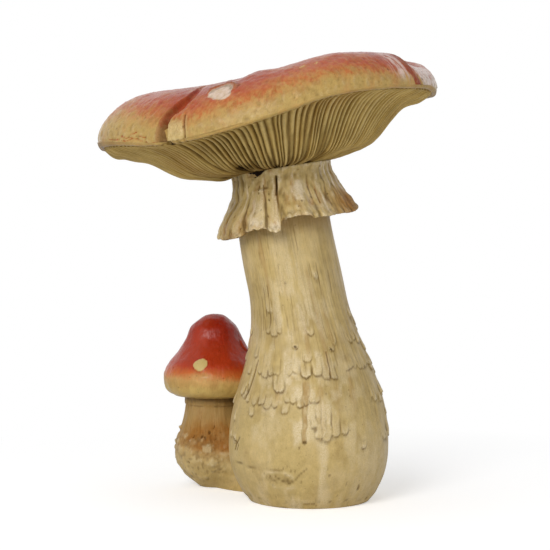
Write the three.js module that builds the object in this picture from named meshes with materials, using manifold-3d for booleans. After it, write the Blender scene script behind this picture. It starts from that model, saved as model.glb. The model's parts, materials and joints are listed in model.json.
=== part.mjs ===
// A garden statue of two toadstools, cast in resin: a tall one with a wide, wavy, tilted cap, and a small
// one grown against its foot. Each casting is a hollow shell, and a steel tie rod clamps the wide cap to
// its stem.
//
// Sizes are millimetres and angles degrees. +Z is up, -Y faces the viewer, and the origin is the centre of
// the large stem's foot on the ground.
import * as THREE from "three";
import { mergeVertices } from "three/addons/utils/BufferGeometryUtils.js";
import Module from "manifold-3d";

const wasm = await Module();
wasm.setup();

// Walls and fits
const WALL = 6; // shell of the large castings
const SMALL_WALL = 4; // shell of the small castings
const BOND_GAP = 0.3; // glue line wherever two pieces meet
const LEDGE = 5; // how far a glued-in disc overlaps the ledge that it seats on

// Large stem
const STEM_HEIGHT = 298;
const FOOT_R = 55;
const BULB_R = 73.5;
const BULB_HEIGHT = 52;
const BULB_CURVE = 2.4; // exponent of the bulb's underside: a higher one makes it rounder
const SHAFT_R = 43.8;
const SHAFT_HEIGHT = 195;
const NECK_R = 41;
const STEM_TOP_WALL = 9;
const SWAY = 27; // how far the top stands to the left of the foot
const SWAY_START = 105; // height where the stem starts to sway
const CAP_TILT = 9.2; // how far the stem's top, and the cap on it, tilt down to the left

// Wide cap, in its own frame: the origin is the middle of the stem's top, and +Z tilts with the cap
const CAP_R = 152;
const LIP_HEIGHT = 46.6;
const LIP_ROUND = 2.5; // how far the lip's outer edge is rounded
const LIP_DEPTH = 10; // depth of the rebate inside the lip that holds the gill plate
const SHOULDER_HEIGHT = 92;
const CROWN_DIP = 7; // how far the middle of the cap is sunk
const DOME_FULLNESS = 4.3; // exponent of the dome's outline: a higher one makes it boxier
const HUB_T = 12;
const HUB_SEAT_R = 30;
const HUB_MARGIN = 2; // how far the gills' hub stands out past the skirt's top
const GILLS = 96;
const GILL_DEPTH = 3.4;
const GILL_PLATE_T = 5;
const GILL_START = 4; // height of the gills' edges at the hub
const GILL_HANG = 6; // how far the gills' edges hang below the lip
const GILL_FADE = 0.1; // share of the run over which the valleys run out at either end
const BELLY_EDGE = 0.58; // share of the run from hub to lip where the gills' edges climb steepest
const LEFT_BELLY = 0.03; // what the left side adds to it, and the right side takes off
const BELLY_SOFTNESS = 0.2; // how far that steep stretch spreads

// Skirt around the neck
const SKIRT_T = 3.7;
const SKIRT_DROP = 46;
const SKIRT_FLARE = 20;
const FLARE_CURVE = 1.5; // how late the skirt flares on its way down
const SKIRT_FOLDS = 13;
const STEPS_PER_FOLD = 5;
const FOLD_DEPTH = 3;

// Small toadstool, which stands behind and to the left of the large one
const SMALL_BEARING = 141.6; // direction from the large foot to the small one
const WEB_WIDTH = 3.8; // width of the web between the two bulbs where they come closest
const WEB_BITE = 6; // how far the web would reach into the large bulb before it is cut
const WEB_HEIGHT = 75;
const WEB_SHARPNESS = 12; // how fast the web falls off to either side
const SMALL_STEM_HEIGHT = 89;
const SMALL_FOOT_R = 14;
const SMALL_BULB_R = 37;
const SMALL_BULB_HEIGHT = 34;
const SMALL_BULB_CURVE = 2.2;
const SMALL_NECK_R = 26;
const SMALL_FALL_CURVE = 1.3; // how late the small stem narrows above its bulb
const SMALL_TOP_WALL = 8;
const SMALL_CAP_R = 49;
const SMALL_CAP_HEIGHT = 77;
const SMALL_LIP_DROP = 1.5; // how far the small lip hangs below the top of its stem
const SMALL_GILLS = 40;
const SMALL_GILL_DEPTH = 1.4;
const SMALL_GILL_FADE = 0.25; // share of the run over which the small gills deepen
const SMALL_PLATE_T = 6;
const SMALL_HUB_T = 10;

// Discs that close the feet, and the drain hole in the large one
const FOOT_DISC_T = 5;
const DRAIN_R = 4;
const DRAIN_OFFSET = 24;

// Steel: an M8 tie rod with its washers and nuts, and plain dowels
const ROD_R = 4;
const ROD_END = 6; // thread left showing past each nut
const NUT_ACROSS_FLATS = 13;
const NUT_T = 6.5;
const WASHER_R = 12;
const WASHER_T = 1.6;
const DOWEL_R = 3;
const DOWEL_LENGTH = 30;
const DOWEL_HEIGHTS = [31, 45];
const PIN_LENGTH = 26;
const STEEL_SIDES = 20;

// Waves of the wide cap's lip: each raises the lip by `height` `count` times a turn, first at `at`
const LIP_WAVES = [
  { count: 1, height: 5.1, at: 338 },
  { count: 2, height: 1.6, at: 165 },
  { count: 3, height: 5.3, at: 67 },
  { count: 4, height: 2.5, at: 9 },
];
// Waves of the wide cap's radius, and what its shoulder adds to the lip's waves
const RADIUS_WAVES = [
  { count: 1, height: 2.6, at: 184 },
  { count: 2, height: 3, at: 2 },
  { count: 5, height: 1.6, at: 50 },
];
const SHOULDER_WAVES = [{ count: 1, height: 4, at: 310 }];
// Waves of the skirt's flare and of its drop
const FLARE_WAVES = [{ count: 1, height: 1.5, at: 0 }];
const DROP_WAVES = [
  { count: 1, height: 6, at: 200 },
  { count: 3, height: 2.5, at: 100 },
];
// Creases that run in from the lip. `swing` turns a crease as it nears the crown.
const CREASES = [
  { at: 228.75, depth: 8, notch: 4.5, swing: 22 },
  { at: 330, depth: 5, notch: 3, swing: -18 },
  { at: 30, depth: 5, notch: 3, swing: 12 },
  { at: 93.75, depth: 6, notch: 3.5, swing: -14 },
  { at: 161.25, depth: 5, notch: 3, swing: 10 },
];
const CREASE_HALF_TURN = 4.6;
const CREASE_START = 0.45; // share of the radius where creases begin

// Outline of the small cap as shares of its radius and height, from the crown to the lip
const SMALL_CAP_OUTLINE = [
  [0, 1],
  [0.17, 0.98],
  [0.32, 0.92],
  [0.44, 0.84],
  [0.54, 0.7],
  [0.7, 0.545],
  [0.88, 0.4],
  [0.99, 0.25],
  [0.97, 0.11],
  [0.88, 0.03],
];
const SMALL_LIP_SHARE = 0.77; // radius of the small cap's mouth as a share of its own

const radians = THREE.MathUtils.degToRad;
const { lerp, clamp, smoothstep } = THREE.MathUtils;
const point = (r, z) => new THREE.Vector2(r, z);

// Turned solids and solid arithmetic

// Angles for a full turn in even steps.
function evenTurns(count) {
  return Array.from({ length: count }, (_, i) => (i / count) * 2 * Math.PI);
}

// A lathe solid whose outline may change as it turns: outlineAt(angle, i) gives points as (radius, height).
function turned(outlineAt, turns) {
  const geometry = new THREE.LatheGeometry(outlineAt(turns[0], 0), turns.length);
  const position = geometry.getAttribute("position");
  const rows = position.count / (turns.length + 1);
  for (let i = 0; i <= turns.length; i++) {
    const turn = i % turns.length;
    const angle = turns[turn];
    outlineAt(angle, turn).forEach(({ x: r, y: z }, row) => {
      position.setXYZ(i * rows + row, r * Math.cos(angle), r * Math.sin(angle), z);
    });
  }
  return geometry;
}

function solidOf(geometry) {
  const bare = geometry.toNonIndexed();
  bare.deleteAttribute("normal");
  bare.deleteAttribute("uv");
  const merged = mergeVertices(bare, 1e-4);
  return new wasm.Manifold(
    new wasm.Mesh({
      numProp: 3,
      vertProperties: merged.getAttribute("position").array,
      triVerts: merged.index.array,
    }),
  );
}

function geometryOf(solid) {
  const { vertProperties, triVerts } = solid.getMesh();
  const indexed = new THREE.BufferGeometry()
    .setAttribute("position", new THREE.BufferAttribute(vertProperties, 3))
    .setIndex(new THREE.BufferAttribute(triVerts, 1));
  const geometry = indexed.toNonIndexed();
  geometry.computeVertexNormals();
  return geometry;
}

// A plain cylinder along +Z from height z0 to z1.
function rodSolid(r, z0, z1, sides = STEEL_SIDES) {
  const cylinder = new THREE.CylinderGeometry(r, r, z1 - z0, sides);
  cylinder.rotateX(Math.PI / 2).translate(0, 0, (z0 + z1) / 2);
  return solidOf(cylinder);
}

function waves(list, angle) {
  const one = ({ count, height, at }) => height * Math.cos(count * (angle - radians(at)));
  return list.reduce((sum, wave) => sum + one(wave), 0);
}

// Large stem

// Outer radius of the large stem at a height.
function stemRadius(z) {
  if (z < BULB_HEIGHT) return BULB_R - (BULB_R - FOOT_R) * (1 - z / BULB_HEIGHT) ** BULB_CURVE;
  if (z > SHAFT_HEIGHT) return lerp(SHAFT_R, NECK_R, (z - SHAFT_HEIGHT) / (STEM_HEIGHT - SHAFT_HEIGHT));
  const fall = (z - BULB_HEIGHT) / (SHAFT_HEIGHT - BULB_HEIGHT);
  return SHAFT_R + (BULB_R - SHAFT_R) * (0.5 + 0.5 * Math.cos(Math.PI * fall));
}

// The stem sways to the left in a smooth S, and its sections tilt until the top lies as the cap does.
function swayed(geometry) {
  const position = geometry.getAttribute("position");
  for (let i = 0; i < position.count; i++) {
    const z = position.getZ(i);
    const across = position.getX(i);
    const swing = smoothstep(z, SWAY_START, STEM_HEIGHT);
    const tilt = radians(CAP_TILT) * swing;
    position.setX(i, across * Math.cos(tilt) - SWAY * swing);
    position.setZ(i, z + across * Math.sin(tilt));
  }
  return geometry;
}

const STEM_TURNS = evenTurns(48);
const BULB_STATIONS = [0, 0.12, 0.3, 0.6];
const SHAFT_STATIONS = [0, 0.1, 0.2, 0.3, 0.4, 0.5, 0.62, 0.74, 0.87, 1];
const stemHeights = [
  ...BULB_STATIONS.map((share) => share * BULB_HEIGHT),
  ...SHAFT_STATIONS.map((share) => lerp(BULB_HEIGHT, STEM_HEIGHT, share)),
];

// The stem's outer form, grown by `extra`, as one solid without its hollow.
function stemForm(extra) {
  const side = stemHeights.map((z) => point(stemRadius(z) + extra, z));
  return solidOf(swayed(turned(() => [point(0, 0), ...side, point(0, STEM_HEIGHT)], STEM_TURNS)));
}

function largeStem() {
  const discR = FOOT_R - WALL;
  const ledgeTop = FOOT_DISC_T + BOND_GAP + LEDGE;
  const ceiling = STEM_HEIGHT - STEM_TOP_WALL;
  const hollow = stemHeights
    .filter((z) => z > ledgeTop && z < ceiling)
    .map((z) => point(stemRadius(z) - WALL, z));
  const outline = [
    point(0, ceiling),
    point(stemRadius(ceiling) - WALL, ceiling),
    ...hollow.reverse(),
    point(stemRadius(ledgeTop) - WALL, ledgeTop),
    point(discR - LEDGE, ledgeTop - LEDGE / 2),
    point(discR - LEDGE, FOOT_DISC_T + BOND_GAP),
    point(discR, FOOT_DISC_T + BOND_GAP),
    point(discR, 0),
    ...stemHeights.map((z) => point(stemRadius(z), z)),
    point(0, STEM_HEIGHT),
  ];
  const shell = solidOf(swayed(turned(() => outline, STEM_TURNS)));
  const rodHole = rodSolid(ROD_R + BOND_GAP, -2 * STEM_TOP_WALL, STEM_TOP_WALL)
    .rotate([0, -CAP_TILT, 0])
    .translate([-SWAY, 0, STEM_HEIGHT]);
  return shell.subtract(rodHole).subtract(dowelSolids(BOND_GAP));
}

function footDisc() {
  const r = FOOT_R - WALL - BOND_GAP;
  return rodSolid(r, 0, FOOT_DISC_T, STEM_TURNS.length).subtract(
    rodSolid(DRAIN_R, -FOOT_DISC_T, 2 * FOOT_DISC_T).translate([DRAIN_OFFSET, 0, 0]),
  );
}

// Wide cap, in its own frame

const CAP_TURNS = evenTurns(GILLS);

// How much the creases take off at an angle and a share of the radius: their `depth` or their `notch`.
function creased(angle, share, value) {
  return CREASES.reduce((sum, crease) => {
    const middle = radians(crease.at + crease.swing * (1 - share));
    const off = Math.abs(Math.atan2(Math.sin(angle - middle), Math.cos(angle - middle)));
    const across = Math.max(0, 1 - off / radians(CREASE_HALF_TURN));
    const along = clamp((share - CREASE_START) / (1 - CREASE_START), 0, 1);
    return sum + crease[value] * across * along;
  }, 0);
}

const lipRadius = (angle) => CAP_R + waves(RADIUS_WAVES, angle) - creased(angle, 1, "notch");
const lipHeight = (angle) => LIP_HEIGHT + waves(LIP_WAVES, angle);

// Height of the cap's upper surface at an angle and a share of the radius.
function domeHeight(angle, share) {
  const sway = waves(LIP_WAVES, angle) + waves(SHOULDER_WAVES, angle);
  const shoulder = SHOULDER_HEIGHT + share ** 2 * sway - CROWN_DIP * (1 - share ** 2) ** 2;
  const round = Math.sqrt(1 - share ** DOME_FULLNESS);
  return lerp(lipHeight(angle) + LIP_ROUND, shoulder, round) - creased(angle, share, "depth") * round;
}

const DOME_SHARES = [0.3, 0.55, 0.72, 0.84, 0.92, 0.97];
const DOME_HOLLOW_SHARES = [0.86, 0.7, 0.4];

function domeOutline(angle) {
  const r = lipRadius(angle);
  const lip = lipHeight(angle);
  const ledgeR = r - WALL - LEDGE;
  const hollow = DOME_HOLLOW_SHARES.map((share) => point(share * r, domeHeight(angle, share) - WALL));
  return [
    point(0, domeHeight(angle, 0) - WALL),
    ...hollow.reverse(),
    point(ledgeR, lip + LIP_DEPTH),
    point(r - WALL, lip + LIP_DEPTH),
    point(r - WALL, lip),
    point(r - LIP_ROUND / 2, lip),
    point(r, lip + LIP_ROUND),
    ...DOME_SHARES.map((share) => point(share * r, domeHeight(angle, share))).reverse(),
    point(0, domeHeight(angle, 0)),
  ];
}

const capDome = () => solidOf(turned(domeOutline, CAP_TURNS));

const skirtTopR = NECK_R + BOND_GAP + SKIRT_T;
const hubR = skirtTopR + HUB_MARGIN;

const RIDGE_SHARES = [0, 0.2, 0.42, 0.55, 0.66, 0.8, 1];
const PLATE_TOP_SHARES = [0.72, 0.36];

// How far the gills' edges have climbed at a share of the run from hub to lip, from 0 to 1.
function climbed(angle, run) {
  const edge = BELLY_EDGE - LEFT_BELLY * Math.cos(angle);
  return 0.5 + 0.5 * Math.tanh((run - edge) / BELLY_SOFTNESS);
}

// A ridge at every turn of the cap's own steps, and a valley half way between.
function gillOutline(angle, turn) {
  const ridge = turn % 2 === 0;
  const step = Math.PI / GILLS;
  // The plate's edge is straight between the cap's steps, as the lip's inner wall is.
  const sides = ridge ? [angle] : [angle - step, angle + step];
  const chord = ridge ? 1 : Math.cos(step);
  const mean = (values) => values.reduce((sum, value) => sum + value, 0) / values.length;
  const edgeR = chord * mean(sides.map(lipRadius)) - WALL - BOND_GAP;
  const lip = mean(sides.map(lipHeight));
  const rise = lip - GILL_HANG - GILL_START;
  const at = (run, up) => point(lerp(hubR, edgeR, run), GILL_START + rise * climbed(angle, run) + up);
  const depth = ridge ? 0 : GILL_DEPTH;
  const valley = (run) => depth * Math.sin(Math.PI * lerp(GILL_FADE, 1 - GILL_FADE, run));
  return [
    point(0, BOND_GAP),
    point(hubR, BOND_GAP),
    ...RIDGE_SHARES.map((run) => at(run, valley(run))),
    point(edgeR, lip + LIP_DEPTH - BOND_GAP),
    ...PLATE_TOP_SHARES.map((run) => at(run, GILL_DEPTH + GILL_PLATE_T)),
    point(HUB_SEAT_R, BOND_GAP + HUB_T),
    point(0, BOND_GAP + HUB_T),
  ];
}

function gillPlate() {
  const plate = solidOf(turned(gillOutline, evenTurns(2 * GILLS)));
  return plate.subtract(rodSolid(ROD_R + BOND_GAP, -HUB_T, 2 * HUB_T + BOND_GAP));
}

// Skirt around the neck, turned about a straight axis and swayed as the stem is

const SKIRT_TURNS = evenTurns(SKIRT_FOLDS * STEPS_PER_FOLD);
const SKIRT_SHARES = [0, 0.22, 0.42, 0.62, 0.82, 1];

function skirtOutline(angle) {
  const drop = SKIRT_DROP + waves(DROP_WAVES, angle);
  const flare = SKIRT_FLARE + waves(FLARE_WAVES, angle);
  const outer = SKIRT_SHARES.map((share) => {
    const fold = FOLD_DEPTH * share ** FLARE_CURVE * Math.cos(SKIRT_FOLDS * angle);
    return point(skirtTopR + flare * share ** FLARE_CURVE + fold, STEM_HEIGHT - drop * share);
  });
  const inner = outer.map(({ x: r, y: z }) => point(Math.max(stemRadius(z) + BOND_GAP, r - SKIRT_T), z));
  const clear = outer.map(({ x: r, y: z }, i) => point(Math.max(r, inner[i].x + SKIRT_T / 2), z));
  return [...inner, ...clear.reverse(), inner[0]];
}

const neckSkirt = () => solidOf(swayed(turned(skirtOutline, SKIRT_TURNS)));

// Steel tie rod, washers and nuts, in the cap's frame

const lowerSeat = -STEM_TOP_WALL - BOND_GAP;
const upperSeat = HUB_T + 2 * BOND_GAP;
const stackT = WASHER_T + BOND_GAP + NUT_T;

const tieRod = () => rodSolid(ROD_R, lowerSeat - stackT - ROD_END, upperSeat + stackT + ROD_END);

const rodHoleAt = (z0) => rodSolid(ROD_R + BOND_GAP, z0 - NUT_T, z0 + 2 * NUT_T);

function washerAt(z0) {
  return rodSolid(WASHER_R, z0, z0 + WASHER_T).subtract(rodHoleAt(z0));
}

function nutAt(z0) {
  const cornerR = NUT_ACROSS_FLATS / 2 / Math.cos(Math.PI / 6);
  return rodSolid(cornerR, z0, z0 + NUT_T, 6).subtract(rodHoleAt(z0));
}

// Small toadstool

const bearing = radians(SMALL_BEARING);
const spacing = BULB_R + WEB_WIDTH + SMALL_BULB_R;
const smallPlace = new THREE.Vector3(spacing * Math.cos(bearing), spacing * Math.sin(bearing), 0);

const SMALL_TURNS = evenTurns(40);
const SMALL_BULB_STATIONS = [0, 0.1, 0.25, 0.45, 0.7, 1];
const SMALL_SHAFT_STATIONS = [0.25, 0.5, 0.75, 1];

// Outer radius of the small stem on the side that faces away from the large one.
function smallRadius(z) {
  const under = Math.max(0, 1 - z / SMALL_BULB_HEIGHT);
  if (under > 0) return SMALL_BULB_R - (SMALL_BULB_R - SMALL_FOOT_R) * under ** SMALL_BULB_CURVE;
  const fall = (z - SMALL_BULB_HEIGHT) / (SMALL_STEM_HEIGHT - SMALL_BULB_HEIGHT);
  return lerp(SMALL_BULB_R, SMALL_NECK_R, Math.sin((Math.PI / 2) * fall) ** SMALL_FALL_CURVE);
}

// The same at any angle: a web grows towards the large stem, widest at the foot.
function smallWebbed(z, angle) {
  const facing = Math.max(0, -Math.cos(angle - bearing)) ** WEB_SHARPNESS;
  const reach = lerp(spacing - FOOT_R + WEB_BITE, smallRadius(z), smoothstep(z, 0, WEB_HEIGHT));
  return lerp(smallRadius(z), Math.max(reach, smallRadius(z)), facing);
}

const smallHeights = [
  ...SMALL_BULB_STATIONS.map((share) => share * SMALL_BULB_HEIGHT),
  ...SMALL_SHAFT_STATIONS.map((share) => lerp(SMALL_BULB_HEIGHT, SMALL_STEM_HEIGHT, share)),
];
const smallDiscR = SMALL_FOOT_R - SMALL_WALL;

function smallStem() {
  const ceiling = SMALL_STEM_HEIGHT - SMALL_TOP_WALL;
  const ledgeZ = FOOT_DISC_T + BOND_GAP;
  const mouthR = smallDiscR - SMALL_WALL;
  const hollow = smallHeights
    .filter((z) => z > ledgeZ + SMALL_WALL && z < ceiling)
    .map((z) => point(smallRadius(z) - SMALL_WALL, z));
  const outline = (angle) => [
    point(0, ceiling),
    point(smallRadius(ceiling) - SMALL_WALL, ceiling),
    ...[...hollow].reverse(),
    point(mouthR, ledgeZ + SMALL_WALL / 2),
    point(mouthR, ledgeZ),
    point(smallDiscR + BOND_GAP, ledgeZ),
    point(smallDiscR + BOND_GAP, 0),
    ...smallHeights.map((z) => point(smallWebbed(z, angle), z)),
    point(0, SMALL_STEM_HEIGHT),
  ];
  const pinTop = SMALL_STEM_HEIGHT + SMALL_TOP_WALL;
  const pinHole = rodSolid(DOWEL_R + BOND_GAP, ceiling - SMALL_TOP_WALL, pinTop);
  return solidOf(turned(outline, SMALL_TURNS))
    .subtract(pinHole)
    .translate(smallPlace.toArray())
    .subtract(stemForm(BOND_GAP))
    .subtract(dowelSolids(BOND_GAP));
}

const smallFootDisc = () => rodSolid(smallDiscR, 0, FOOT_DISC_T).translate(smallPlace.toArray());

// The small cap's frame has its origin at the top of the small stem.
const smallCapPlace = [smallPlace.x, smallPlace.y, SMALL_STEM_HEIGHT];
const smallLipZ = -SMALL_LIP_DROP;
const smallOutline = SMALL_CAP_OUTLINE.map(([r, z]) =>
  point(r * SMALL_CAP_R, smallLipZ + z * SMALL_CAP_HEIGHT),
);
const smallPlateR = SMALL_LIP_SHARE * SMALL_CAP_R - SMALL_WALL;

function smallCap() {
  const rebateZ = BOND_GAP + SMALL_PLATE_T + BOND_GAP;
  const lipR = SMALL_LIP_SHARE * SMALL_CAP_R;
  const hollow = smallOutline
    .filter(({ x: r, y: z }) => z > rebateZ + 2 * SMALL_WALL && r > SMALL_WALL)
    .map(({ x: r, y: z }) => point(r - SMALL_WALL, z - SMALL_WALL));
  const outline = [
    point(0, hollow[0].y),
    ...hollow,
    point(smallPlateR - SMALL_WALL / 2, rebateZ + SMALL_WALL / 2),
    point(smallPlateR - SMALL_WALL / 2, rebateZ),
    point(smallPlateR, rebateZ),
    point(smallPlateR, smallLipZ),
    point(lipR, smallLipZ),
    ...[...smallOutline].reverse(),
  ];
  return solidOf(turned(() => outline, SMALL_TURNS))
    .translate(smallCapPlace)
    .subtract(stemForm(BOND_GAP));
}

function smallGillPlate() {
  const edgeR = smallPlateR - BOND_GAP;
  const innerR = SMALL_NECK_R + HUB_MARGIN / 2;
  const outline = (angle, turn) => {
    const depth = turn % 2 === 0 ? 0 : SMALL_GILL_DEPTH;
    return [
      point(0, BOND_GAP),
      point(innerR, BOND_GAP),
      point(lerp(innerR, edgeR, SMALL_GILL_FADE), BOND_GAP + depth),
      point(edgeR, BOND_GAP + depth),
      point(edgeR, BOND_GAP + SMALL_PLATE_T),
      point(innerR, BOND_GAP + SMALL_PLATE_T),
      point(SMALL_NECK_R / 2, BOND_GAP + SMALL_HUB_T),
      point(0, BOND_GAP + SMALL_HUB_T),
    ];
  };
  const pinHole = rodSolid(DOWEL_R + BOND_GAP, -SMALL_HUB_T, 2 * SMALL_HUB_T);
  return solidOf(turned(outline, evenTurns(2 * SMALL_GILLS)))
    .subtract(pinHole)
    .translate(smallCapPlace);
}

const smallCapPin = () => rodSolid(DOWEL_R, -PIN_LENGTH / 2, PIN_LENGTH / 2).translate(smallCapPlace);

// Level dowels that pin the two bulbs together where they touch. `extra` grows them to make their holes.
function dowelAt(height, extra) {
  const half = DOWEL_LENGTH / 2 + extra;
  return rodSolid(DOWEL_R + extra, -half, half)
    .rotate([0, 90, 0])
    .translate([BULB_R, 0, height])
    .rotate([0, 0, SMALL_BEARING]);
}

function dowelSolids(extra) {
  return DOWEL_HEIGHTS.map((height) => dowelAt(height, extra)).reduce((all, one) => all.add(one));
}

// Materials, as the painted finishes look from a step away
const MATERIALS = {
  red_paint: new THREE.MeshStandardMaterial({ color: 0xb0442c, roughness: 0.35, metalness: 0 }),
  cream_paint: new THREE.MeshStandardMaterial({ color: 0xbfa968, roughness: 0.55, metalness: 0 }),
  raw_resin: new THREE.MeshStandardMaterial({ color: 0xc9bd9c, roughness: 0.7, metalness: 0 }),
  zinc_steel: new THREE.MeshStandardMaterial({ color: 0x9a9c9e, roughness: 0.4, metalness: 0.9 }),
};

function piece(name, solid, material) {
  const mesh = new THREE.Mesh(geometryOf(solid), MATERIALS[material]);
  mesh.name = name;
  return mesh;
}

const statue = new THREE.Group();
statue.add(
  piece("large_stem", largeStem(), "cream_paint"),
  piece("large_foot_disc", footDisc(), "raw_resin"),
  piece("neck_skirt", neckSkirt(), "cream_paint"),
  piece("small_stem", smallStem(), "cream_paint"),
  piece("small_foot_disc", smallFootDisc(), "raw_resin"),
  piece("small_cap", smallCap(), "red_paint"),
  piece("small_gill_plate", smallGillPlate(), "cream_paint"),
  piece("small_cap_pin", smallCapPin(), "zinc_steel"),
);
DOWEL_HEIGHTS.forEach((height, i) => {
  statue.add(piece(`bulb_dowel_${i + 1}`, dowelAt(height, 0), "zinc_steel"));
});

const capFrame = new THREE.Group();
capFrame.position.set(-SWAY, 0, STEM_HEIGHT);
capFrame.rotation.y = -radians(CAP_TILT);
capFrame.add(
  piece("cap_dome", capDome(), "red_paint"),
  piece("cap_gill_plate", gillPlate(), "cream_paint"),
  piece("tie_rod", tieRod(), "zinc_steel"),
  piece("lower_washer", washerAt(lowerSeat - WASHER_T), "zinc_steel"),
  piece("lower_nut", nutAt(lowerSeat - stackT), "zinc_steel"),
  piece("upper_washer", washerAt(upperSeat), "zinc_steel"),
  piece("upper_nut", nutAt(upperSeat + WASHER_T + BOND_GAP), "zinc_steel"),
);
statue.add(capFrame);

export default statue;
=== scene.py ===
"""The painted garden statue of two toadstools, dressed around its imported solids."""

import json
import math
from functools import reduce
from itertools import product

import bpy
import numpy as np
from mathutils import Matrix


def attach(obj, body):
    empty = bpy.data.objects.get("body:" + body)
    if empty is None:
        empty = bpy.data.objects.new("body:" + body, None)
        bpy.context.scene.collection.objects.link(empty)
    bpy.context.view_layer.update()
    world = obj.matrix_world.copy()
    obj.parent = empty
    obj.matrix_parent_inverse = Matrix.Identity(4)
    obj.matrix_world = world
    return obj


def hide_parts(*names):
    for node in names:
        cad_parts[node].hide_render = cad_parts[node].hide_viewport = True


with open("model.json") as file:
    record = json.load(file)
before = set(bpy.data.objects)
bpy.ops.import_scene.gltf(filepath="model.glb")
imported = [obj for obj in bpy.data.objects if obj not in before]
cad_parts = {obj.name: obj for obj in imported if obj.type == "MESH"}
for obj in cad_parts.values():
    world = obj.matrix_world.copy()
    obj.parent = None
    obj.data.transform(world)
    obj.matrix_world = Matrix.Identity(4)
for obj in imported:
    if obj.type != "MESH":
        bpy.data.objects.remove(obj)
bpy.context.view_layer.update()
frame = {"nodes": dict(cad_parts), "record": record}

# Camera at the photograph's viewing angle
MM = 0.001
PICTURE_SIDE = 550  # pixels
FOCAL_LENGTH = 1756.97  # pixels
CAMERA_AT = (-31.42, -1600, 285)  # millimetres
CAMERA_PITCH = 2.865  # degrees below level
SENSOR = 36

scene = bpy.context.scene
camera = bpy.data.objects.new("camera", bpy.data.cameras.new("camera"))
camera.data.sensor_width = SENSOR
camera.data.lens = SENSOR * FOCAL_LENGTH / PICTURE_SIDE
camera.location = [c * MM for c in CAMERA_AT]
camera.rotation_euler = (math.radians(90 - CAMERA_PITCH), 0, 0)
scene.collection.objects.link(camera)
scene.camera = camera

# Sizes of the statue in millimetres and degrees, as its solids have them
WALL = 6
SMALL_WALL = 4
BOND_GAP = 0.3
LEDGE = 5
FOOT_DISC_T = 5
ROD_HOLE_R = 4.3
PIN_HOLE_R = 3.3

STEM_HEIGHT = 298
FOOT_R = 55
BULB_R = 73.5
BULB_HEIGHT = 52
BULB_CURVE = 2.4
SHAFT_R = 43.8
SHAFT_HEIGHT = 195
NECK_R = 41
STEM_TOP_WALL = 9
SWAY = 27
SWAY_START = 105
CAP_TILT = 9.2

CAP_R = 152
LIP_HEIGHT = 46.6
LIP_ROUND = 2.5
LIP_DEPTH = 10
SHOULDER_HEIGHT = 92
CROWN_DIP = 7
DOME_FULLNESS = 4.3
HUB_T = 12
HUB_R = 47
GILL_PLATE_T = 8.4
GILL_START = 4
GILL_HANG = 6
BELLY_EDGE = 0.58
LEFT_BELLY = 0.03
BELLY_SOFTNESS = 0.2

SKIRT_TOP_R = 45
SKIRT_T = 3.7

SMALL_BEARING = 141.6
SMALL_SPACING = 114.3
WEB_BITE = 6
WEB_HEIGHT = 75
WEB_SHARPNESS = 12
SMALL_STEM_HEIGHT = 89
SMALL_FOOT_R = 14
SMALL_BULB_R = 37
SMALL_BULB_HEIGHT = 34
SMALL_BULB_CURVE = 2.2
SMALL_NECK_R = 26
SMALL_FALL_CURVE = 1.3
SMALL_TOP_WALL = 8
SMALL_CAP_R = 49
SMALL_CAP_HEIGHT = 77
SMALL_LIP_DROP = 1.5
SMALL_LIP_SHARE = 0.77
SMALL_PLATE_T = 6

# Waves as (count a turn, height, first crest), round the wide cap's lip, its radius and its shoulder
LIP_WAVES = [(1, 5.1, 338), (2, 1.6, 165), (3, 5.3, 67), (4, 2.5, 9)]
RADIUS_WAVES = [(1, 2.6, 184), (2, 3, 2), (5, 1.6, 50)]
SHOULDER_WAVES = [(1, 4, 310)]

# Outline of the small cap as shares of its radius and height, from the lip to the crown
SMALL_CAP_OUTLINE = [
    (0.77, 0), (0.88, 0.03), (0.97, 0.11), (0.99, 0.25), (0.88, 0.4), (0.7, 0.545),
    (0.54, 0.7), (0.44, 0.84), (0.32, 0.92), (0.17, 0.98), (0, 1),
]


# Plain arithmetic on arrays


def lerp(a, b, t):
    return a + (b - a) * t


def smooth(x, low, high):
    """0 below low, 1 above high, and a smooth climb between them."""
    t = np.clip((x - low) / (high - low), 0, 1)
    return t * t * (3 - 2 * t)


def fade(x, low, high):
    """1 below low, 0 above high, and a smooth fall between them."""
    return 1 - smooth(x, low, high)


def bell(x, width):
    """1 at zero, falling to about a third at width."""
    return np.exp(-((x / width) ** 2))


def most(*fields):
    """The largest of the fields, point by point."""
    return reduce(np.maximum, fields)


def apart(a, at):
    """The turn in radians from the direction `at`, in degrees, to the angle a, within half a turn."""
    turn = a - np.radians(at)
    return np.arctan2(np.sin(turn), np.cos(turn))


def towards(a, at, half):
    """1 in the direction `at`, falling to about a third `half` degrees away from it."""
    return bell(apart(a, at), math.radians(half))


def waves(crests, a):
    """The sum of waves, each (count a turn, height, first crest in degrees)."""
    return sum(height * np.cos(count * (a - math.radians(at))) for count, height, at in crests)


def around(stops, a):
    """Values that pass smoothly through (degrees, value) stops round a full turn."""
    degrees = [at for at, _ in stops]
    values = [value for _, value in stops]
    fine = np.arange(0, 360, 0.25)
    curve = np.interp(fine, degrees, values, period=360)
    for _ in range(3):
        curve = (np.roll(curve, -1) + curve + np.roll(curve, 1)) / 3
    return np.interp(np.degrees(a), fine, curve, period=360)


def hashed(cells, seed):
    """A repeatable number from -1 to 1 for each lattice cell."""
    x, y, z = cells
    n = x * 73856093 ^ y * 19349663 ^ z * 83492791 ^ (seed * 2654435761 & 0x7FFFFFFF)
    n = ((n ^ (n >> 13)) * 1274126177) & 0x7FFFFFFF
    n = ((n ^ (n >> 15)) * 668265263) & 0x7FFFFFFF
    return (n ^ (n >> 16)) / 0x3FFFFFFF - 1


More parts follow.
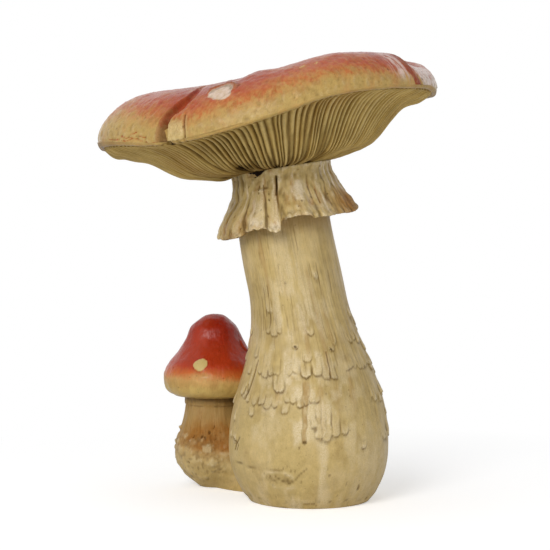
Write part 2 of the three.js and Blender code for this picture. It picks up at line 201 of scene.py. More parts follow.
def noise(x, y, z, seed=0):
    """Smooth value noise from -1 to 1."""
    spots = np.broadcast_arrays(x, y, z)
    cells = [np.floor(c).astype(np.int64) for c in spots]
    shares = [smooth(c - np.floor(c), 0, 1) for c in spots]
    total = 0
    for corner in product((0, 1), repeat=3):
        weight = 1
        for share, bit in zip(shares, corner):
            weight = weight * (share if bit else 1 - share)
        total += weight * hashed([cell + bit for cell, bit in zip(cells, corner)], seed)
    return total


def rough(x, y, z, octaves=3, seed=0):
    """Noise from -1 to 1 in octaves, each half as strong and twice as fine as the one before.
    The seed, the last number here and in the functions below, picks the pattern."""
    layers = [noise(x * 2**k, y * 2**k, z * 2**k, seed + k) / 2**k for k in range(octaves)]
    return sum(layers) / (2 - 0.5 ** (octaves - 1))


def lumpy(place, cell, octaves, seed):
    """Noise at a place, the arrays x, y and z, in cells of that many millimetres."""
    x, y, z = place
    return rough(x / cell, y / cell, z / cell, octaves, seed)


def turning(a, z, across, along, octaves=3, seed=0):
    """Noise wrapped round an axis: `across` cells a radian, and one cell for each `along` of height."""
    return rough(across * np.cos(a), across * np.sin(a), z / along, octaves, seed)


def averaged(field, rows, columns):
    """Each value's mean over a window of that many rows and columns to each side."""
    padded = np.pad(field, ((rows, rows), (0, 0)), mode="edge")
    height = field.shape[0]
    field = sum(padded[i : i + height] for i in range(2 * rows + 1)) / (2 * rows + 1)
    return sum(np.roll(field, i, axis=1) for i in range(-columns, columns + 1)) / (2 * columns + 1)


# Meshes from rings of points


def turns(count, focus=()):
    """Angles for a full turn, closer together round each (degrees, half width, gain) of focus."""
    fine = np.radians(np.arange(0, 360.1, 0.1))
    density = np.ones_like(fine)
    for at, half, gain in focus:
        density += gain * towards(fine, at, half)
    run = np.concatenate([[0], np.cumsum((density[1:] + density[:-1]) / 2)])
    return np.interp(np.arange(count) / count, run / run[-1], fine)


def stations(stops):
    """Values in even steps between stops, each stop a (value, steps up to the next one)."""
    parts = [np.linspace(a, b, steps, endpoint=False) for (a, steps), (b, _) in zip(stops, stops[1:])]
    return np.concatenate([*parts, [stops[-1][0]]])


def grid(rows, columns):
    """Row and column values as two full grids."""
    return np.broadcast_arrays(np.asarray(rows, float)[:, None], np.asarray(columns, float)[None, :])


def round_rings(a, r, z):
    """Rings of points from their angles, radii and heights."""
    return np.stack([r * np.cos(a), r * np.sin(a), z + 0 * a], axis=-1)


def lathe(profile, circle):
    """Angles, radii and heights of rings through the (radius, height) points of a profile."""
    r, a = grid([radius for radius, _ in profile], circle)
    return a, r, grid([height for _, height in profile], circle)[0]


def lined(values, lining, rings):
    """Surface values with those of the lining's rings put before them."""
    return {key: np.concatenate([lining.get(key, 0) + 0 * rings, value]) for key, value in values.items()}


def outward(rings):
    """Unit normals of rings that run up the outside of a form."""
    along = np.gradient(rings, axis=0)
    across = np.roll(rings, -1, axis=1) - np.roll(rings, 1, axis=1)
    normal = np.cross(across, along)
    return normal / np.maximum(np.linalg.norm(normal, axis=-1, keepdims=True), 1e-9)


def raised(rings, relief):
    """Rings moved out along their normals by the relief."""
    return rings + outward(rings) * relief[..., None]


def skin(name, rings, material, values, flow, capped=False):
    """A closed mesh from rings of points in millimetres, which run up the outside. The last ring joins
    the first unless both ends are capped. `values` are its surface values by name, from 0 to 1."""
    rows, columns = rings.shape[:2]
    row = np.arange(rows - 1 if capped else rows)[:, None] * columns
    column = np.arange(columns)[None, :]
    beside = (column + 1) % columns
    above = (row + columns) % (rows * columns)
    corners = [row + column, row + beside, above + beside, above + column]
    faces = np.stack(corners, -1).reshape(-1, 4).tolist()
    points = rings.reshape(-1, 3)
    fields = {key: np.clip(value, 0, 1).ravel() for key, value in values.items()}
    flows = flow.reshape(-1, 3)
    if capped:
        low, high = len(points), len(points) + 1
        points = np.vstack([points, rings[0].mean(0), rings[-1].mean(0)])
        for key, value in fields.items():
            fields[key] = np.append(value, [value[:columns].mean(), value[-columns:].mean()])
        flows = np.vstack([flows, flows[0], flows[-1]])
        last = (rows - 1) * columns
        for i in range(columns):
            j = (i + 1) % columns
            faces.append([low, j, i])
            faces.append([high, last + i, last + j])
    mesh = bpy.data.meshes.new(name)
    mesh.from_pydata((points * MM).tolist(), [], faces)
    mesh.polygons.foreach_set("use_smooth", [True] * len(mesh.polygons))
    for key, value in fields.items():
        mesh.attributes.new(key, "FLOAT", "POINT").data.foreach_set("value", value.astype(np.float32))
    spread = mesh.attributes.new("flow", "FLOAT_VECTOR", "POINT")
    spread.data.foreach_set("vector", flows.astype(np.float32).ravel())
    mesh.update()
    mesh.materials.append(material)
    piece = bpy.data.objects.new(name, mesh)
    scene.collection.objects.link(piece)
    return piece


def flowing(a, z, radius, stretch):
    """Surface coordinates in millimetres for brush marks along the form, `stretch` times longer."""
    return np.stack([radius * np.cos(a), radius * np.sin(a), z / stretch + 0 * a], -1)


def dressed(piece, node):
    """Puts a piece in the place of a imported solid."""
    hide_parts(node)
    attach(piece, "root")


# Painted finishes


def tint(code):
    """A colour from its hexadecimal code, as shaders take it."""
    channels = [int(code[i : i + 2], 16) / 255 for i in (0, 2, 4)]
    return (*[c / 12.92 if c <= 0.04045 else ((c + 0.055) / 1.055) ** 2.4 for c in channels], 1)


class Tree:
    """The node tree of a material or a world, built a node at a time."""

    def __init__(self, owner):
        owner.use_nodes = True
        self.owner = owner
        self.tree = owner.node_tree
        self.tree.nodes.clear()

    def add(self, kind, inputs=(), **settings):
        node = self.tree.nodes.new("ShaderNode" + kind)
        for key, value in settings.items():
            setattr(node, key, value)
        for key, value in dict(inputs).items():
            if isinstance(value, bpy.types.NodeSocket):
                self.tree.links.new(value, node.inputs[key])
            else:
                node.inputs[key].default_value = value
        return node

    def value(self, name):
        return self.add("Attribute", attribute_name=name).outputs["Fac"]

    def flow(self):
        return self.add("Attribute", attribute_name="flow").outputs["Vector"]

    def place(self):
        return self.add("TexCoord").outputs["Object"]

    def math(self, operation, a, b, clamp=False):
        return self.add("Math", {0: a, 1: b}, operation=operation, use_clamp=clamp).outputs[0]

    def noise(self, vector, scale, detail=3, roughness=0.55):
        inputs = {"Vector": vector, "Scale": scale, "Detail": detail, "Roughness": roughness}
        return self.add("TexNoise", inputs).outputs["Fac"]

    def range(self, value, low, high, to_low=0.0, to_high=1.0):
        inputs = {"Value": value, "From Min": low, "From Max": high, "To Min": to_low, "To Max": to_high}
        return self.add("MapRange", inputs, clamp=True).outputs["Result"]

    def mix(self, amount, a, b, blend="MIX"):
        node = self.add("Mix", {0: amount, 6: a, 7: b}, data_type="RGBA", blend_type=blend)
        return node.outputs[2]

    def ramp(self, value, stops):
        node = self.add("ValToRGB", {0: value})
        elements = node.color_ramp.elements
        elements[0].position, elements[0].color = stops[0][0], tint(stops[0][1])
        elements[1].position, elements[1].color = stops[-1][0], tint(stops[-1][1])
        for position, code in stops[1:-1]:
            elements.new(position).color = tint(code)
        return node.outputs["Color"]

    def bump(self, height, strength, distance, below=None):
        inputs = {"Height": height, "Strength": strength, "Distance": distance * MM}
        if below is not None:
            inputs["Normal"] = below
        return self.add("Bump", inputs).outputs["Normal"]

    def surface(self, inputs):
        shader = self.add("BsdfPrincipled", inputs)
        self.add("OutputMaterial", {"Surface": shader.outputs[0]})
        return self.owner


# Near-black for the deepest wash: dark knots, and painted shade in slots, creases and under the gills
DEEPEST = "1c1006"


def antiqued(
    name, paint_stops, tones, wash_and_shade, stain, pale_and_highlight, roughness,
    gloss=0.25, coat=0.0, rim=0.35, polish=0.34, streak=0.1, patchy=0.13, bare_and_sheen="d9c3b6",
):
    """Airbrushed paint over cast resin: `paint_stops` from the margin to the full colour, broken up by
    `tones`, with stains, pale dry-brushed edges and painted highlights, bare casting and painted sheen,
    and a dark wash in the hollows that also carries painted shade."""
    t = Tree(bpy.data.materials.new(name))
    flow, place = t.flow(), t.place()
    strokes = t.noise(flow, 0.35, 4, 0.6)
    mottle = t.noise(place, 130, 4, 0.6)
    paint = t.math("ADD", t.value("paint"), t.range(strokes, 0.3, 0.7, -streak, streak))
    paint = t.math("ADD", paint, t.range(mottle, 0.3, 0.7, -patchy, patchy), clamp=True)
    color = t.ramp(paint, paint_stops)
    for code, scale, amount, low, high in tones:
        patches = t.range(t.noise(place, scale, 4, 0.6), low, high, 0, amount)
        color = t.mix(patches, color, tint(code))
    fine = t.noise(flow, 1.6, 3, 0.6)
    shade = t.math("ADD", t.range(fine, 0.3, 0.7, -0.1, 0.07), t.range(mottle, 0.3, 0.7, 0.92, 1.06))
    grey = t.add("CombineColor", {0: shade, 1: shade, 2: shade}).outputs[0]
    color = t.mix(1.0, color, grey, "MULTIPLY")
    grain = t.noise(place, 900, 3, 0.65)
    stained = t.math("MULTIPLY", t.value("stain"), t.range(mottle, 0.3, 0.7, 0.7, 1))
    color = t.mix(stained, color, tint(stain))
    # Pale dry-brushed paint and painted highlights, broken up by the grain
    brushed = t.math("MULTIPLY", t.value("pale_and_highlight"), t.range(grain, 0.35, 0.6, 0.35, 1))
    color = t.mix(brushed, color, tint(pale_and_highlight))
    # Bare casting and painted sheen
    bare_and_sheen_amount = t.math("MULTIPLY", t.value("bare_and_sheen"), t.range(grain, 0.3, 0.6, 0.6, 1))
    color = t.mix(bare_and_sheen_amount, color, tint(bare_and_sheen))
    specks = t.math("MULTIPLY", t.range(t.noise(place, 420, 2, 0.5), 0.7, 0.78), 0.5)
    # The dark wash, which also carries painted shade in hollows, creases and under the gills
    settled = t.math("MULTIPLY", t.value("wash_and_shade"), t.range(fine, 0.2, 0.7, 1, 0.75))
    color = t.mix(t.math("MAXIMUM", settled, specks), color, tint(wash_and_shade))
    # Near-black where the wash is deepest, mostly painted shade
    color = t.mix(t.range(t.value("wash_and_shade"), 0.82, 1.0), color, tint(DEEPEST))
    clean = t.range(t.math("MAXIMUM", t.value("wash_and_shade"), t.value("stain")), 0, 0.9, 1, 0.12)
    relief = t.bump(grain, 0.3, 0.5)
    relief = t.bump(fine, 0.3, 0.6, relief)
    relief = t.bump(mottle, 0.3, 1.2, relief)
    sheen = t.range(t.noise(place, 60, 3), 0.3, 0.7, roughness - 0.07, roughness + 0.09)
    sheen = t.math("SUBTRACT", sheen, t.math("MULTIPLY", t.value("pale_and_highlight"), 0.14))
    inputs = {"Base Color": color, "Roughness": sheen, "Normal": relief}
    inputs["Specular IOR Level"] = t.math("MULTIPLY", clean, gloss)
    edgewise = t.add("LayerWeight", {"Blend": 0.5}).outputs["Facing"]
    inputs["Coat Weight"] = t.math("MULTIPLY", clean, t.range(edgewise, 0.6, 0.95, coat, coat + rim))
    inputs["Coat Roughness"] = polish
    return t.surface(inputs)


# Tones as (colour, scale, strength, and the noise at which they start and are full)
CREAM_TONES = [
    ("c4a566", 14, 0.5, 0.45, 0.7),
    ("d6c08e", 28, 0.5, 0.52, 0.72),
    ("97793f", 36, 0.5, 0.55, 0.75),
]
cream_paint = antiqued(
    "cream_paint", [(0, "b89d5e"), (1, "ccb47a")], CREAM_TONES,
    wash_and_shade="472a0c", stain="985f22", pale_and_highlight="e2d0aa", roughness=0.46, gloss=0.3, bare_and_sheen="ecdfcc",
)
gill_paint = antiqued(
    "gill_paint", [(0, "b4944c"), (1, "caae6a")],
    [("b09a5a", 20, 0.5, 0.45, 0.7), ("8a6f34", 35, 0.5, 0.5, 0.72)],
    wash_and_shade="40260a", stain="8e662e", pale_and_highlight="d6be84", roughness=0.6, gloss=0.1, rim=0.1,
)
CAP_STOPS = [(0, "b99a58"), (0.3, "b98d4e"), (0.48, "b56b36"), (0.68, "a94822"), (1, "8e2c14")]
cap_paint = antiqued(
    "cap_paint", CAP_STOPS, [("c07f48", 45, 0.5, 0.52, 0.74), ("9a7a42", 60, 0.4, 0.55, 0.78)],
    wash_and_shade="3c1c0a", stain="7c3814", pale_and_highlight="dcc793", roughness=0.36, gloss=0.26,
    rim=0.5, polish=0.26, streak=0.11, patchy=0.1, bare_and_sheen="e4d0c6",
)
SMALL_CAP_STOPS = [(0, "c8aa62"), (0.3, "c89c5c"), (0.48, "c4662c"), (0.68, "ae3814"), (1, "962108")]
small_cap_paint = antiqued(
    "small_cap_paint", SMALL_CAP_STOPS, [("b8502c", 45, 0.12, 0.54, 0.75)],
    wash_and_shade="4a2410", stain="8a4a22", pale_and_highlight="d8c68e", roughness=0.36, gloss=0.18,
    coat=0.2, rim=0.3, polish=0.24, streak=0.02, patchy=0.04, bare_and_sheen="ccb679",
)


def raw_resin_material():
    t = Tree(bpy.data.materials.new("raw_resin"))
    patches = t.noise(t.place(), 60, 4)
    color = t.ramp(patches, [(0.3, "b3a684"), (0.7, "c9bd9c")])
    pores = t.noise(t.place(), 1200, 2)
    inputs = {"Base Color": color, "Normal": t.bump(pores, 0.3, 0.3)}
    inputs["Roughness"] = t.range(patches, 0.3, 0.7, 0.62, 0.78)
    return t.surface(inputs)


def zinc_steel_material():
    t = Tree(bpy.data.materials.new("zinc_steel"))
    patches = t.noise(t.place(), 300, 4)
    inputs = {"Base Color": t.ramp(patches, [(0.3, "8d8f91"), (0.7, "a6a8aa")]), "Metallic": 0.9}
    inputs["Roughness"] = t.range(patches, 0.3, 0.7, 0.32, 0.5)
    return t.surface(inputs)


# Forms shared by several pieces


def stem_radius(z):
    """The large stem's radius at a height: its bulb, its shaft and its neck."""
    bulb = BULB_R - (BULB_R - FOOT_R) * np.clip(1 - z / BULB_HEIGHT, 0, 1) ** BULB_CURVE
    fall = np.clip((z - BULB_HEIGHT) / (SHAFT_HEIGHT - BULB_HEIGHT), 0, 1)
    shaft = SHAFT_R + (BULB_R - SHAFT_R) * (0.5 + 0.5 * np.cos(np.pi * fall))
    neck = lerp(SHAFT_R, NECK_R, np.clip((z - SHAFT_HEIGHT) / (STEM_HEIGHT - SHAFT_HEIGHT), 0, 1))
    return np.where(z < BULB_HEIGHT, bulb, np.where(z > SHAFT_HEIGHT, neck, shaft))


def swayed(rings):
    """Rings built about a straight axis, leaned with the large stem."""
    x, y, z = np.moveaxis(rings, -1, 0)
    swing = smooth(z, SWAY_START, STEM_HEIGHT)
    tilt = math.radians(CAP_TILT) * swing
    return np.stack([x * np.cos(tilt) - SWAY * swing, y, z + x * np.sin(tilt)], -1)


def on_stem_top(rings):
    """Rings from the wide cap's own frame, set on the leaning stem."""
    x, y, z = np.moveaxis(rings, -1, 0)
    tilt = math.radians(CAP_TILT)
    leaned_x = x * math.cos(tilt) - z * math.sin(tilt) - SWAY
    return np.stack([leaned_x, y, x * math.sin(tilt) + z * math.cos(tilt) + STEM_HEIGHT], -1)


def lip_radius(a):
    return CAP_R + waves(RADIUS_WAVES, a)


def lip_height(a):
    return LIP_HEIGHT + waves(LIP_WAVES, a) - 2.0 * towards(a, 272, 14)


def groove(a, z, radius, path, width, depth):
    """A groove along (degrees, height) points, and how dark it is."""
    cut = np.zeros_like(z)
    for (a0, z0), (a1, z1) in zip(path, path[1:]):
        x = apart(a, a0) * radius
        y = z - z0
        run_x = math.radians(a1 - a0) * radius
        run_y = z1 - z0
        share = np.clip((x * run_x + y * run_y) / (run_x**2 + run_y**2), 0, 1)
        off = np.hypot(x - share * run_x, y - share * run_y)
        cut = most(cut, bell(off, width / 2))
    return -depth * cut, cut


def spot(a, z, radius, at, height, wide, tall=None):
    """1 inside a soft-edged spot, 0 outside it."""
    off = np.hypot(apart(a, at) * radius / wide, (z - height) / (tall or wide))
    return fade(off, 0.7, 1.15)


# Large stem

# Scales as (degrees, height of the tip, width, length, lift), placed as in the photograph
SCALES = [
    (229, 156, 5, 10, 0.7), (235, 153, 8, 17, 1.0), (241, 156, 5, 10, 0.7), (276, 154, 7.5, 9, 0.8),
    (258, 142.5, 6, 6, 0.5), (292.5, 140, 6, 6, 0.5), (269.5, 131, 9, 15, 0.9), (266, 117.5, 10, 15, 1.7),
    (276.5, 119, 9.5, 17, 1.2), (284.3, 116, 7.5, 22, 1.3), (290.2, 116, 7, 22, 1.3),
    (223, 119, 6, 12, 1.0), (228.5, 116.5, 7, 13, 1.2), (234, 118.5, 6, 11, 1.0),
    (244, 104.5, 12, 16, 1.6), (221.5, 82, 6, 13, 1.1), (223, 92, 6.5, 12, 0.9), (229, 92.5, 7, 13, 0.9),
    (236, 89.5, 8, 15, 1.0), (243, 91, 6.5, 12, 0.8), (250.5, 86.5, 6.5, 13, 1.0),
    (252, 96.5, 5.5, 9, 0.9), (257, 95.5, 5.5, 9, 0.9), (262.5, 92.5, 7, 10, 1.2),
    (266.5, 94.5, 4.5, 8, 0.9), (270.5, 96, 5.5, 9, 0.9), (274.5, 96.5, 5, 9, 0.8),
    (272, 74.5, 6, 18, 0.9), (276.5, 65, 9, 34, 0.9), (281.5, 63, 9, 46, 1.1), (287.5, 66.5, 8, 34, 1.0),
    (295.5, 68.5, 8, 12, 0.9), (310.5, 54.5, 6, 8, 0.9), (343, 166, 6, 12, 1.4), (338, 145, 7, 14, 1.5),
    (330, 148, 5, 9, 0.8), (346, 120.5, 8, 15, 1.6), (349, 96.5, 8, 15, 1.5), (341, 92, 7, 12, 1.3),
    (348, 60, 10, 28, 1.6), (336, 59, 8, 20, 1.0), (212, 133, 5.5, 12, 0.9), (206, 118, 5.5, 10, 0.9),
    (203, 99, 7, 14, 1.2), (209, 96.5, 6, 12, 1.2), (214, 94, 5, 10, 1.0), (199, 75, 6, 14, 1.0),
    (204, 56, 7, 12, 1.2), (196, 60, 6, 10, 1.1), (296.5, 202, 4.5, 14, 0.8), (293, 204, 3, 9, 0.6),
    (232, 174, 7, 22, 0.7), (321, 146, 6, 9, 0.7), (186, 128, 7, 13, 1.2), (190, 152, 6, 12, 1.1),
    (183, 88, 8, 16, 1.3),
]
# Thin scalloped edges as (from, to, height there, height here, scallop, drop, lift)
EDGES = [
    (275, 305, 136, 148, 6, 2.5, 0.8), (232, 263, 121.5, 121.5, 9, 3, 0.7),
    (300, 347, 124, 125, 7, 2, 0.8), (320, 353, 97, 91, 7, 2.5, 0.9), (2, 60, 128, 118, 9, 3, 0.9),
    (70, 150, 122, 130, 8, 3, 0.9), (20, 110, 92, 98, 9, 3, 0.9), (120, 185, 146, 138, 8, 3, 0.8),
]
# Rows of scales on the back, which the photograph doesn't show, as (height, count)
BACK_ROWS = [(158, 8), (140, 10), (119, 13), (98, 13), (76, 10), (52, 6)]
# Cracks as (path of (degrees, height), width, depth)
STEM_CRACKS = [
    ([(216.5, 130), (214.5, 118), (211.5, 101)], 1.8, 1.8),
    ([(209, 108), (211, 101), (210, 96)], 1.5, 1.5),
    ([(206.5, 106), (208, 99)], 1.2, 1.0),
    ([(287.3, 139), (287.2, 118)], 1.0, 1.0),
    ([(203, 39), (212, 38), (222, 36.5), (228, 37)], 1.3, 0.6),
    ([(232, 37.5), (241, 36.5), (250, 36)], 1.0, 0.3),
    ([(244, 30), (250, 26), (255, 25), (259, 28), (262, 33), (267, 38)], 1.4, 0.5),
    ([(235, 33), (239, 28), (245, 25.5)], 1.1, 0.2),
    ([(228, 198), (226.5, 172)], 0.9, 0.6),
    ([(234, 199), (232.5, 172), (231, 160)], 0.9, 0.6),
    ([(222.5, 188), (221, 158)], 0.9, 0.5),
    ([(201, 60), (206, 56), (204, 50)], 1.9, 1.7),
    ([(206, 55), (210, 61)], 1.6, 1.4),
    ([(209, 55), (207, 50)], 1.4, 1.2),
    ([(300, 216), (299, 196)], 0.9, 0.5),
    ([(316, 207), (315, 190)], 0.9, 0.5),
]
# Pits as (degrees, height, size)
STEM_PITS = [
    (250.5, 38.5, 0.9), (253.5, 39.5, 0.8), (256, 37, 1.0), (259, 35.5, 1.0), (247, 37.5, 0.7),
    (283.4, 32, 1.3), (297.4, 23.5, 1.1), (310.1, 17.5, 1.6), (309.5, 20, 1.2), (262, 57, 1.0),
    (258, 200, 1.2),
]
# Patches of painted highlight as (degrees, height, half width, half length, strength)
STEM_HIGHLIGHTS = [
    (281, 84, 9, 19, 0.75), (258, 128, 9, 14, 0.7), (270, 170, 8, 20, 0.6), (262, 105, 12, 9, 0.6),
    (246, 112, 8, 12, 0.6), (289, 127, 8, 10, 0.55), (265, 215, 8, 22, 0.5), (240, 74, 12, 16, 0.35),
    (300, 90, 10, 16, 0.3), (236, 96, 9, 8, 0.5), (254, 152, 6, 12, 0.5), (318, 42, 24, 30, 0.45),
    (287, 30, 18, 14, 0.2), (342, 60, 14, 30, 0.5), (276, 205, 3.5, 30, 0.45), (252, 226, 3, 18, 0.4),
    (288, 190, 3, 24, 0.4), (268, 236, 3, 12, 0.4),
]


def patches(a, z, radius, marks, seed):
    """Ragged soft patches, each (degrees, height, half width, half length, strength)."""
    total = np.zeros_like(z)
    for i, (at, height, wide, tall, strength) in enumerate(marks):
        off = np.hypot(apart(a, at) * radius / wide, (z - height) / tall)
        off = off + 0.4 * noise(a * 30, z / 4, i, seed)
        total = most(total, strength * fade(off, 0.15, 1.3))
    return total


BOLD_LIFT = 1.25


def scale_relief(a, z, scale, seed):
    """The lift of a scale towards its ragged lower edge, the dark line under that edge, and its body."""
    at, tip, width, length, lift = scale
    radius = stem_radius(np.array(tip))
    x = apart(a, at) * radius + 1.3 * noise(z / 6, seed, 0, 11)
    side = np.abs(x) / (width / 2)
    rounding = 1 - np.sqrt(1 - np.minimum(side, 1) ** 2)
    edge = tip + 0.45 * width * rounding
    edge = edge + 0.6 * noise(x / 2.2, seed, 0.5, 12) + 0.45 * noise(x / 0.9, seed, 0, 13)
    up = z - edge
    body = smooth(up, -0.35, 0.35) * fade(up, 0.12 * length, 0.9 * length) * fade(side, 0.6, 1.1)
    line = bell(up + 0.75, 0.95) * fade(side, 0.75, 1.2)
    line *= 0.55 + 0.45 * smooth(noise(x / 1.6, seed, 2, 14), -0.5, 0.3)
    reach, least, strength = (0.65, -0.9, 0.75) if lift > BOLD_LIFT else (0.35, -0.2, 0.5)
    flank = bell((side - 0.95) * width / 2, 0.55) * smooth(up, -0.5, 0.5) * fade(up, 1, reach * length)
    flank *= smooth(noise(z / 3, seed, 4, 15), least, 0.5)
    return lift * body, most(line, strength * flank), body


def edge_relief(a, z, edge, seed):
    """The lift of a thin scalloped edge, and the dark line under it."""
    start, end, low, high, scallop, drop, lift = edge
    radius = stem_radius(np.array((low + high) / 2))
    half = math.radians((end - start) / 2)
    off = apart(a, (start + end) / 2)
    x = off * radius
    share = np.clip((off / half + 1) / 2, 0, 1)
    ragged = drop * (np.abs(np.sin(np.pi * x / scallop + 1.5 * noise(x / 11, seed, 0, 20))) - 0.5)
    ragged += 1.8 * noise(x / 6, seed, 0, 21) + 0.7 * noise(x / 1.3, seed, 1, 24)
    up = z - (lerp(low, high, share) - ragged)
    held = fade(np.abs(off) / half, 0.85, 1.0)
    broken = 0.2 + 0.8 * smooth(noise(x / 8, seed, 3, 22), -0.35, 0.25)
    body = smooth(up, -0.35, 0.35) * fade(up, 2, 12) * held * broken
    return lift * body, bell(up + 0.7, 0.85) * held * broken


FINE_CRACKS = 70
FINE_PITS = 90
CRATER_AT = 247
DRIP_AT = 265.8


def stem_detail(a, z):
    """Relief of the large stem in millimetres, and its surface values."""
    radius = stem_radius(z)
    rng = np.random.default_rng(5)
    shaft = smooth(z, 45, 125)
    high = smooth(z, 170, 230)

    # Broad unevenness, and fibres
    relief = turning(a, z, 2.6, 90, 2, 31)
    relief -= 2.0 * bell(apart(a, 354), 0.6) * bell(z - 150, 48)
    relief -= 1.3 * bell(apart(a, 352), 0.5) * bell(z - 50, 35)
    relief += lerp(0.18, 0.5 - 0.2 * high, shaft) * turning(a, z, 17, 42, 3, 32)
    relief += lerp(0.06, 0.2 - 0.08 * high, shaft) * turning(a, z, 46, 22, 2, 33)

    # Scales, scalloped edges, cracks and pits
    lines = np.zeros_like(z)
    tops = np.zeros_like(z)
    scales = list(SCALES)
    for row, count in BACK_ROWS:
        for i in range(count):
            at = -8 + 186 * (i + rng.uniform(-0.35, 0.35)) / count
            width = rng.uniform(5, 10)
            tip = row + rng.uniform(-6, 6)
            scales.append((at, tip, width, width * rng.uniform(1.4, 2.4), rng.uniform(0.9, 1.5)))
    for seed, scale in enumerate(scales):
        _, tip, _, length, _ = scale
        near = np.abs(z - tip - length / 2) < length + 6
        lift, line, body = scale_relief(a, z, scale, seed)
        relief = np.where(near, relief + lift, relief)
        lines = most(lines * (1 - 0.7 * body * near), line * near)
        tops = most(tops, body * near)
    for seed, edge in enumerate(EDGES):
        lift, line = edge_relief(a, z, edge, seed)
        relief += lift * (1 - tops)
        lines = most(lines, 0.75 * line)
    cracks = list(STEM_CRACKS)
    for _ in range(FINE_CRACKS):
        at, height = rng.uniform(0, 360), rng.uniform(118, 246)
        length = rng.uniform(5, 20)
        path = [(at, height), (at + rng.uniform(-0.8, 0.8), height + length)]
        cracks.append((path, 0.8, rng.uniform(0.2, 0.5)))
    for path, width, depth in cracks:
        cut, dark = groove(a, z, stem_radius(np.array(path[0][1])), path, width, depth)
        relief += cut
        lines = most(lines, dark * min(1.3, 0.45 + depth / 2))
    pits = list(STEM_PITS)
    for _ in range(FINE_PITS):
        pits.append((rng.uniform(0, 360), rng.uniform(8, 110), rng.uniform(0.4, 0.8)))
    dots = np.zeros_like(z)
    for at, height, size in pits:
        hole = spot(a, z, radius, at, height, size, size * 1.2)
        relief -= 0.4 * size * hole
        dots = most(dots, hole * min(1, 0.35 + 0.25 * size))

    # A shallow crater low on the bulb, the worn foot, and a drip below the scales
    skewed = z + 0.12 * apart(a, CRATER_AT) * radius
    frayed = 2.5 * noise(a * 14, z / 6, 0, 48)
    crater_off = np.hypot(apart(a, CRATER_AT) * radius / 12, (skewed - 27.5 + frayed * 0.3) / 6)
    crater = fade(crater_off, 0.6, 1.2)
    relief -= 0.5 * crater
    relief += 0.5 * bell(crater_off - 1.25, 0.3) * smooth(noise(a * 9, z / 8, 2, 49), -0.5, 0.4)
    foot_line = 5.5 + 2.2 * turning(a, 0, 8, 1, 1, 41) + 0.8 * turning(a, 0, 40, 1, 1, 40)
    footing = bell(z - foot_line, 0.8) * smooth(turning(a, 2, 14, 1, 1, 42), -0.1, 0.6)
    relief -= 0.6 * footing
    relief += turning(a, z / 9, 9, 1, 1, 43) * fade(z, 4, 14)
    drip_x = apart(a, DRIP_AT) * radius + 1.2 * noise(z / 7, 0, 0, 50)
    drip_half = lerp(1.6, 2.8, smooth(z, 84, 98))
    drip = fade(np.abs(drip_x), drip_half, drip_half + 0.9) * smooth(z, 60, 63) * fade(z, 112, 117)
    drip = drip * (0.7 + 0.3 * noise(z / 4, drip_x / 2, 0, 51))
    relief -= 0.3 * drip
    drip_edge = bell(np.abs(drip_x) - drip_half - 0.4, 0.5) * smooth(z, 60, 64) * fade(z, 108, 114)
    frayed_z = z + 0.9 * noise(a * 60, z / 1.2, 0, 56)
    ends = most(
        spot(a, z + 0.8 * noise(a * 30, z, 0, 52), radius, 265.6, 62, 2.2),
        spot(a, frayed_z, radius, 258.2, 143.6, 1.6, 1.2),
        spot(a, frayed_z, radius, 292.5, 141.2, 1.6, 1.2),
    )

    # Wash in the hollows, and painted shade away from the lit front, on the left, under the skirt, and in
    # patches darker towards the right
    hollow = averaged(relief, 4, 4) - relief
    hairline = smooth(turning(a, z, 62, 34, 3, 34), 0.12, 0.5)
    wash_and_shade = most(
        0.74 * lines,
        0.72 * dots,
        0.85 * ends,
        0.12 * drip + 0.22 * drip_edge,
        np.clip(1.5 * hollow - 0.12, 0, 0.75),
        0.5 * footing,
        0.16 * crater * smooth(turning(a, z, 20, 6, 3, 53), -0.2, 0.4),
        0.3 * bell(crater_off - 1.05, 0.09) * smooth(noise(a * 11, z / 5, 4, 58), -0.3, 0.3),
        hairline * lerp(0.02, 0.2, smooth(z, 90, 190)),
    )
    # Painted shade away from the lit front, on the left, and under the skirt
    side_shade = 0.075 * (1 - towards(a, 262, 28)) * smooth(z, 60, 90) * fade(z, 190, 225)
    side_shade += 0.06 * towards(a, 232, 14) * bell(z - 105, 30)
    side_shade += 0.08 * smooth(z, 190, 225) * towards(a, 275, 24)
    wash_and_shade += side_shade * (1 - wash_and_shade)
    # Painted shade in patches, darker towards the right and higher up
    patchy_shade = smooth(turning(a, z, 3.2, 55, 3, 54) + 0.35 * np.cos(a - math.radians(320)), 0.0, 0.6)
    wash_and_shade += lerp(0.02, 0.17, smooth(z, 60, 130)) * patchy_shade * (1 - wash_and_shade)
    wash_and_shade = most(wash_and_shade, 0.4 * smooth(turning(a, z, 30, 12, 3, 45), 0.38, 0.6) * smooth(z, 110, 190))

    # Pale dry-brushed edges and painted highlights, stronger on the lit front, and stains
    lit = towards(a, 262, 34)
    dry = smooth(turning(a, z, 6, lerp(40, 22, shaft), 3, 46) + 0.15 * lit, 0.0, 0.45)
    dry *= 1 - 0.8 * towards(a, 291, 9) * bell(z - 26, 20)
    pale_and_highlight = most(
        np.clip(-1.3 * hollow - 0.1, 0, 0.75),
        (0.3 + 0.45 * lit) * dry * (1 - 0.55 * smooth(z, 170, 215)),
        patches(a, z, 64, STEM_HIGHLIGHTS, 55),
        (0.25 + 0.3 * lit) * tops * (1 - lines),
    )
    stain = most(
        0.42 * drip,
        0.25 * shaft * smooth(turning(a, z, 7, 50, 3, 47), 0.2, 0.55),
        0.3 * smooth(z, 238, 252),
    )
    calm = smooth(z, 0, 2) * fade(z, 285, 292)
    return relief * calm, {"paint": 0.5 + 0 * z, "wash_and_shade": wash_and_shade, "pale_and_highlight": pale_and_highlight * (1 - drip), "stain": stain}


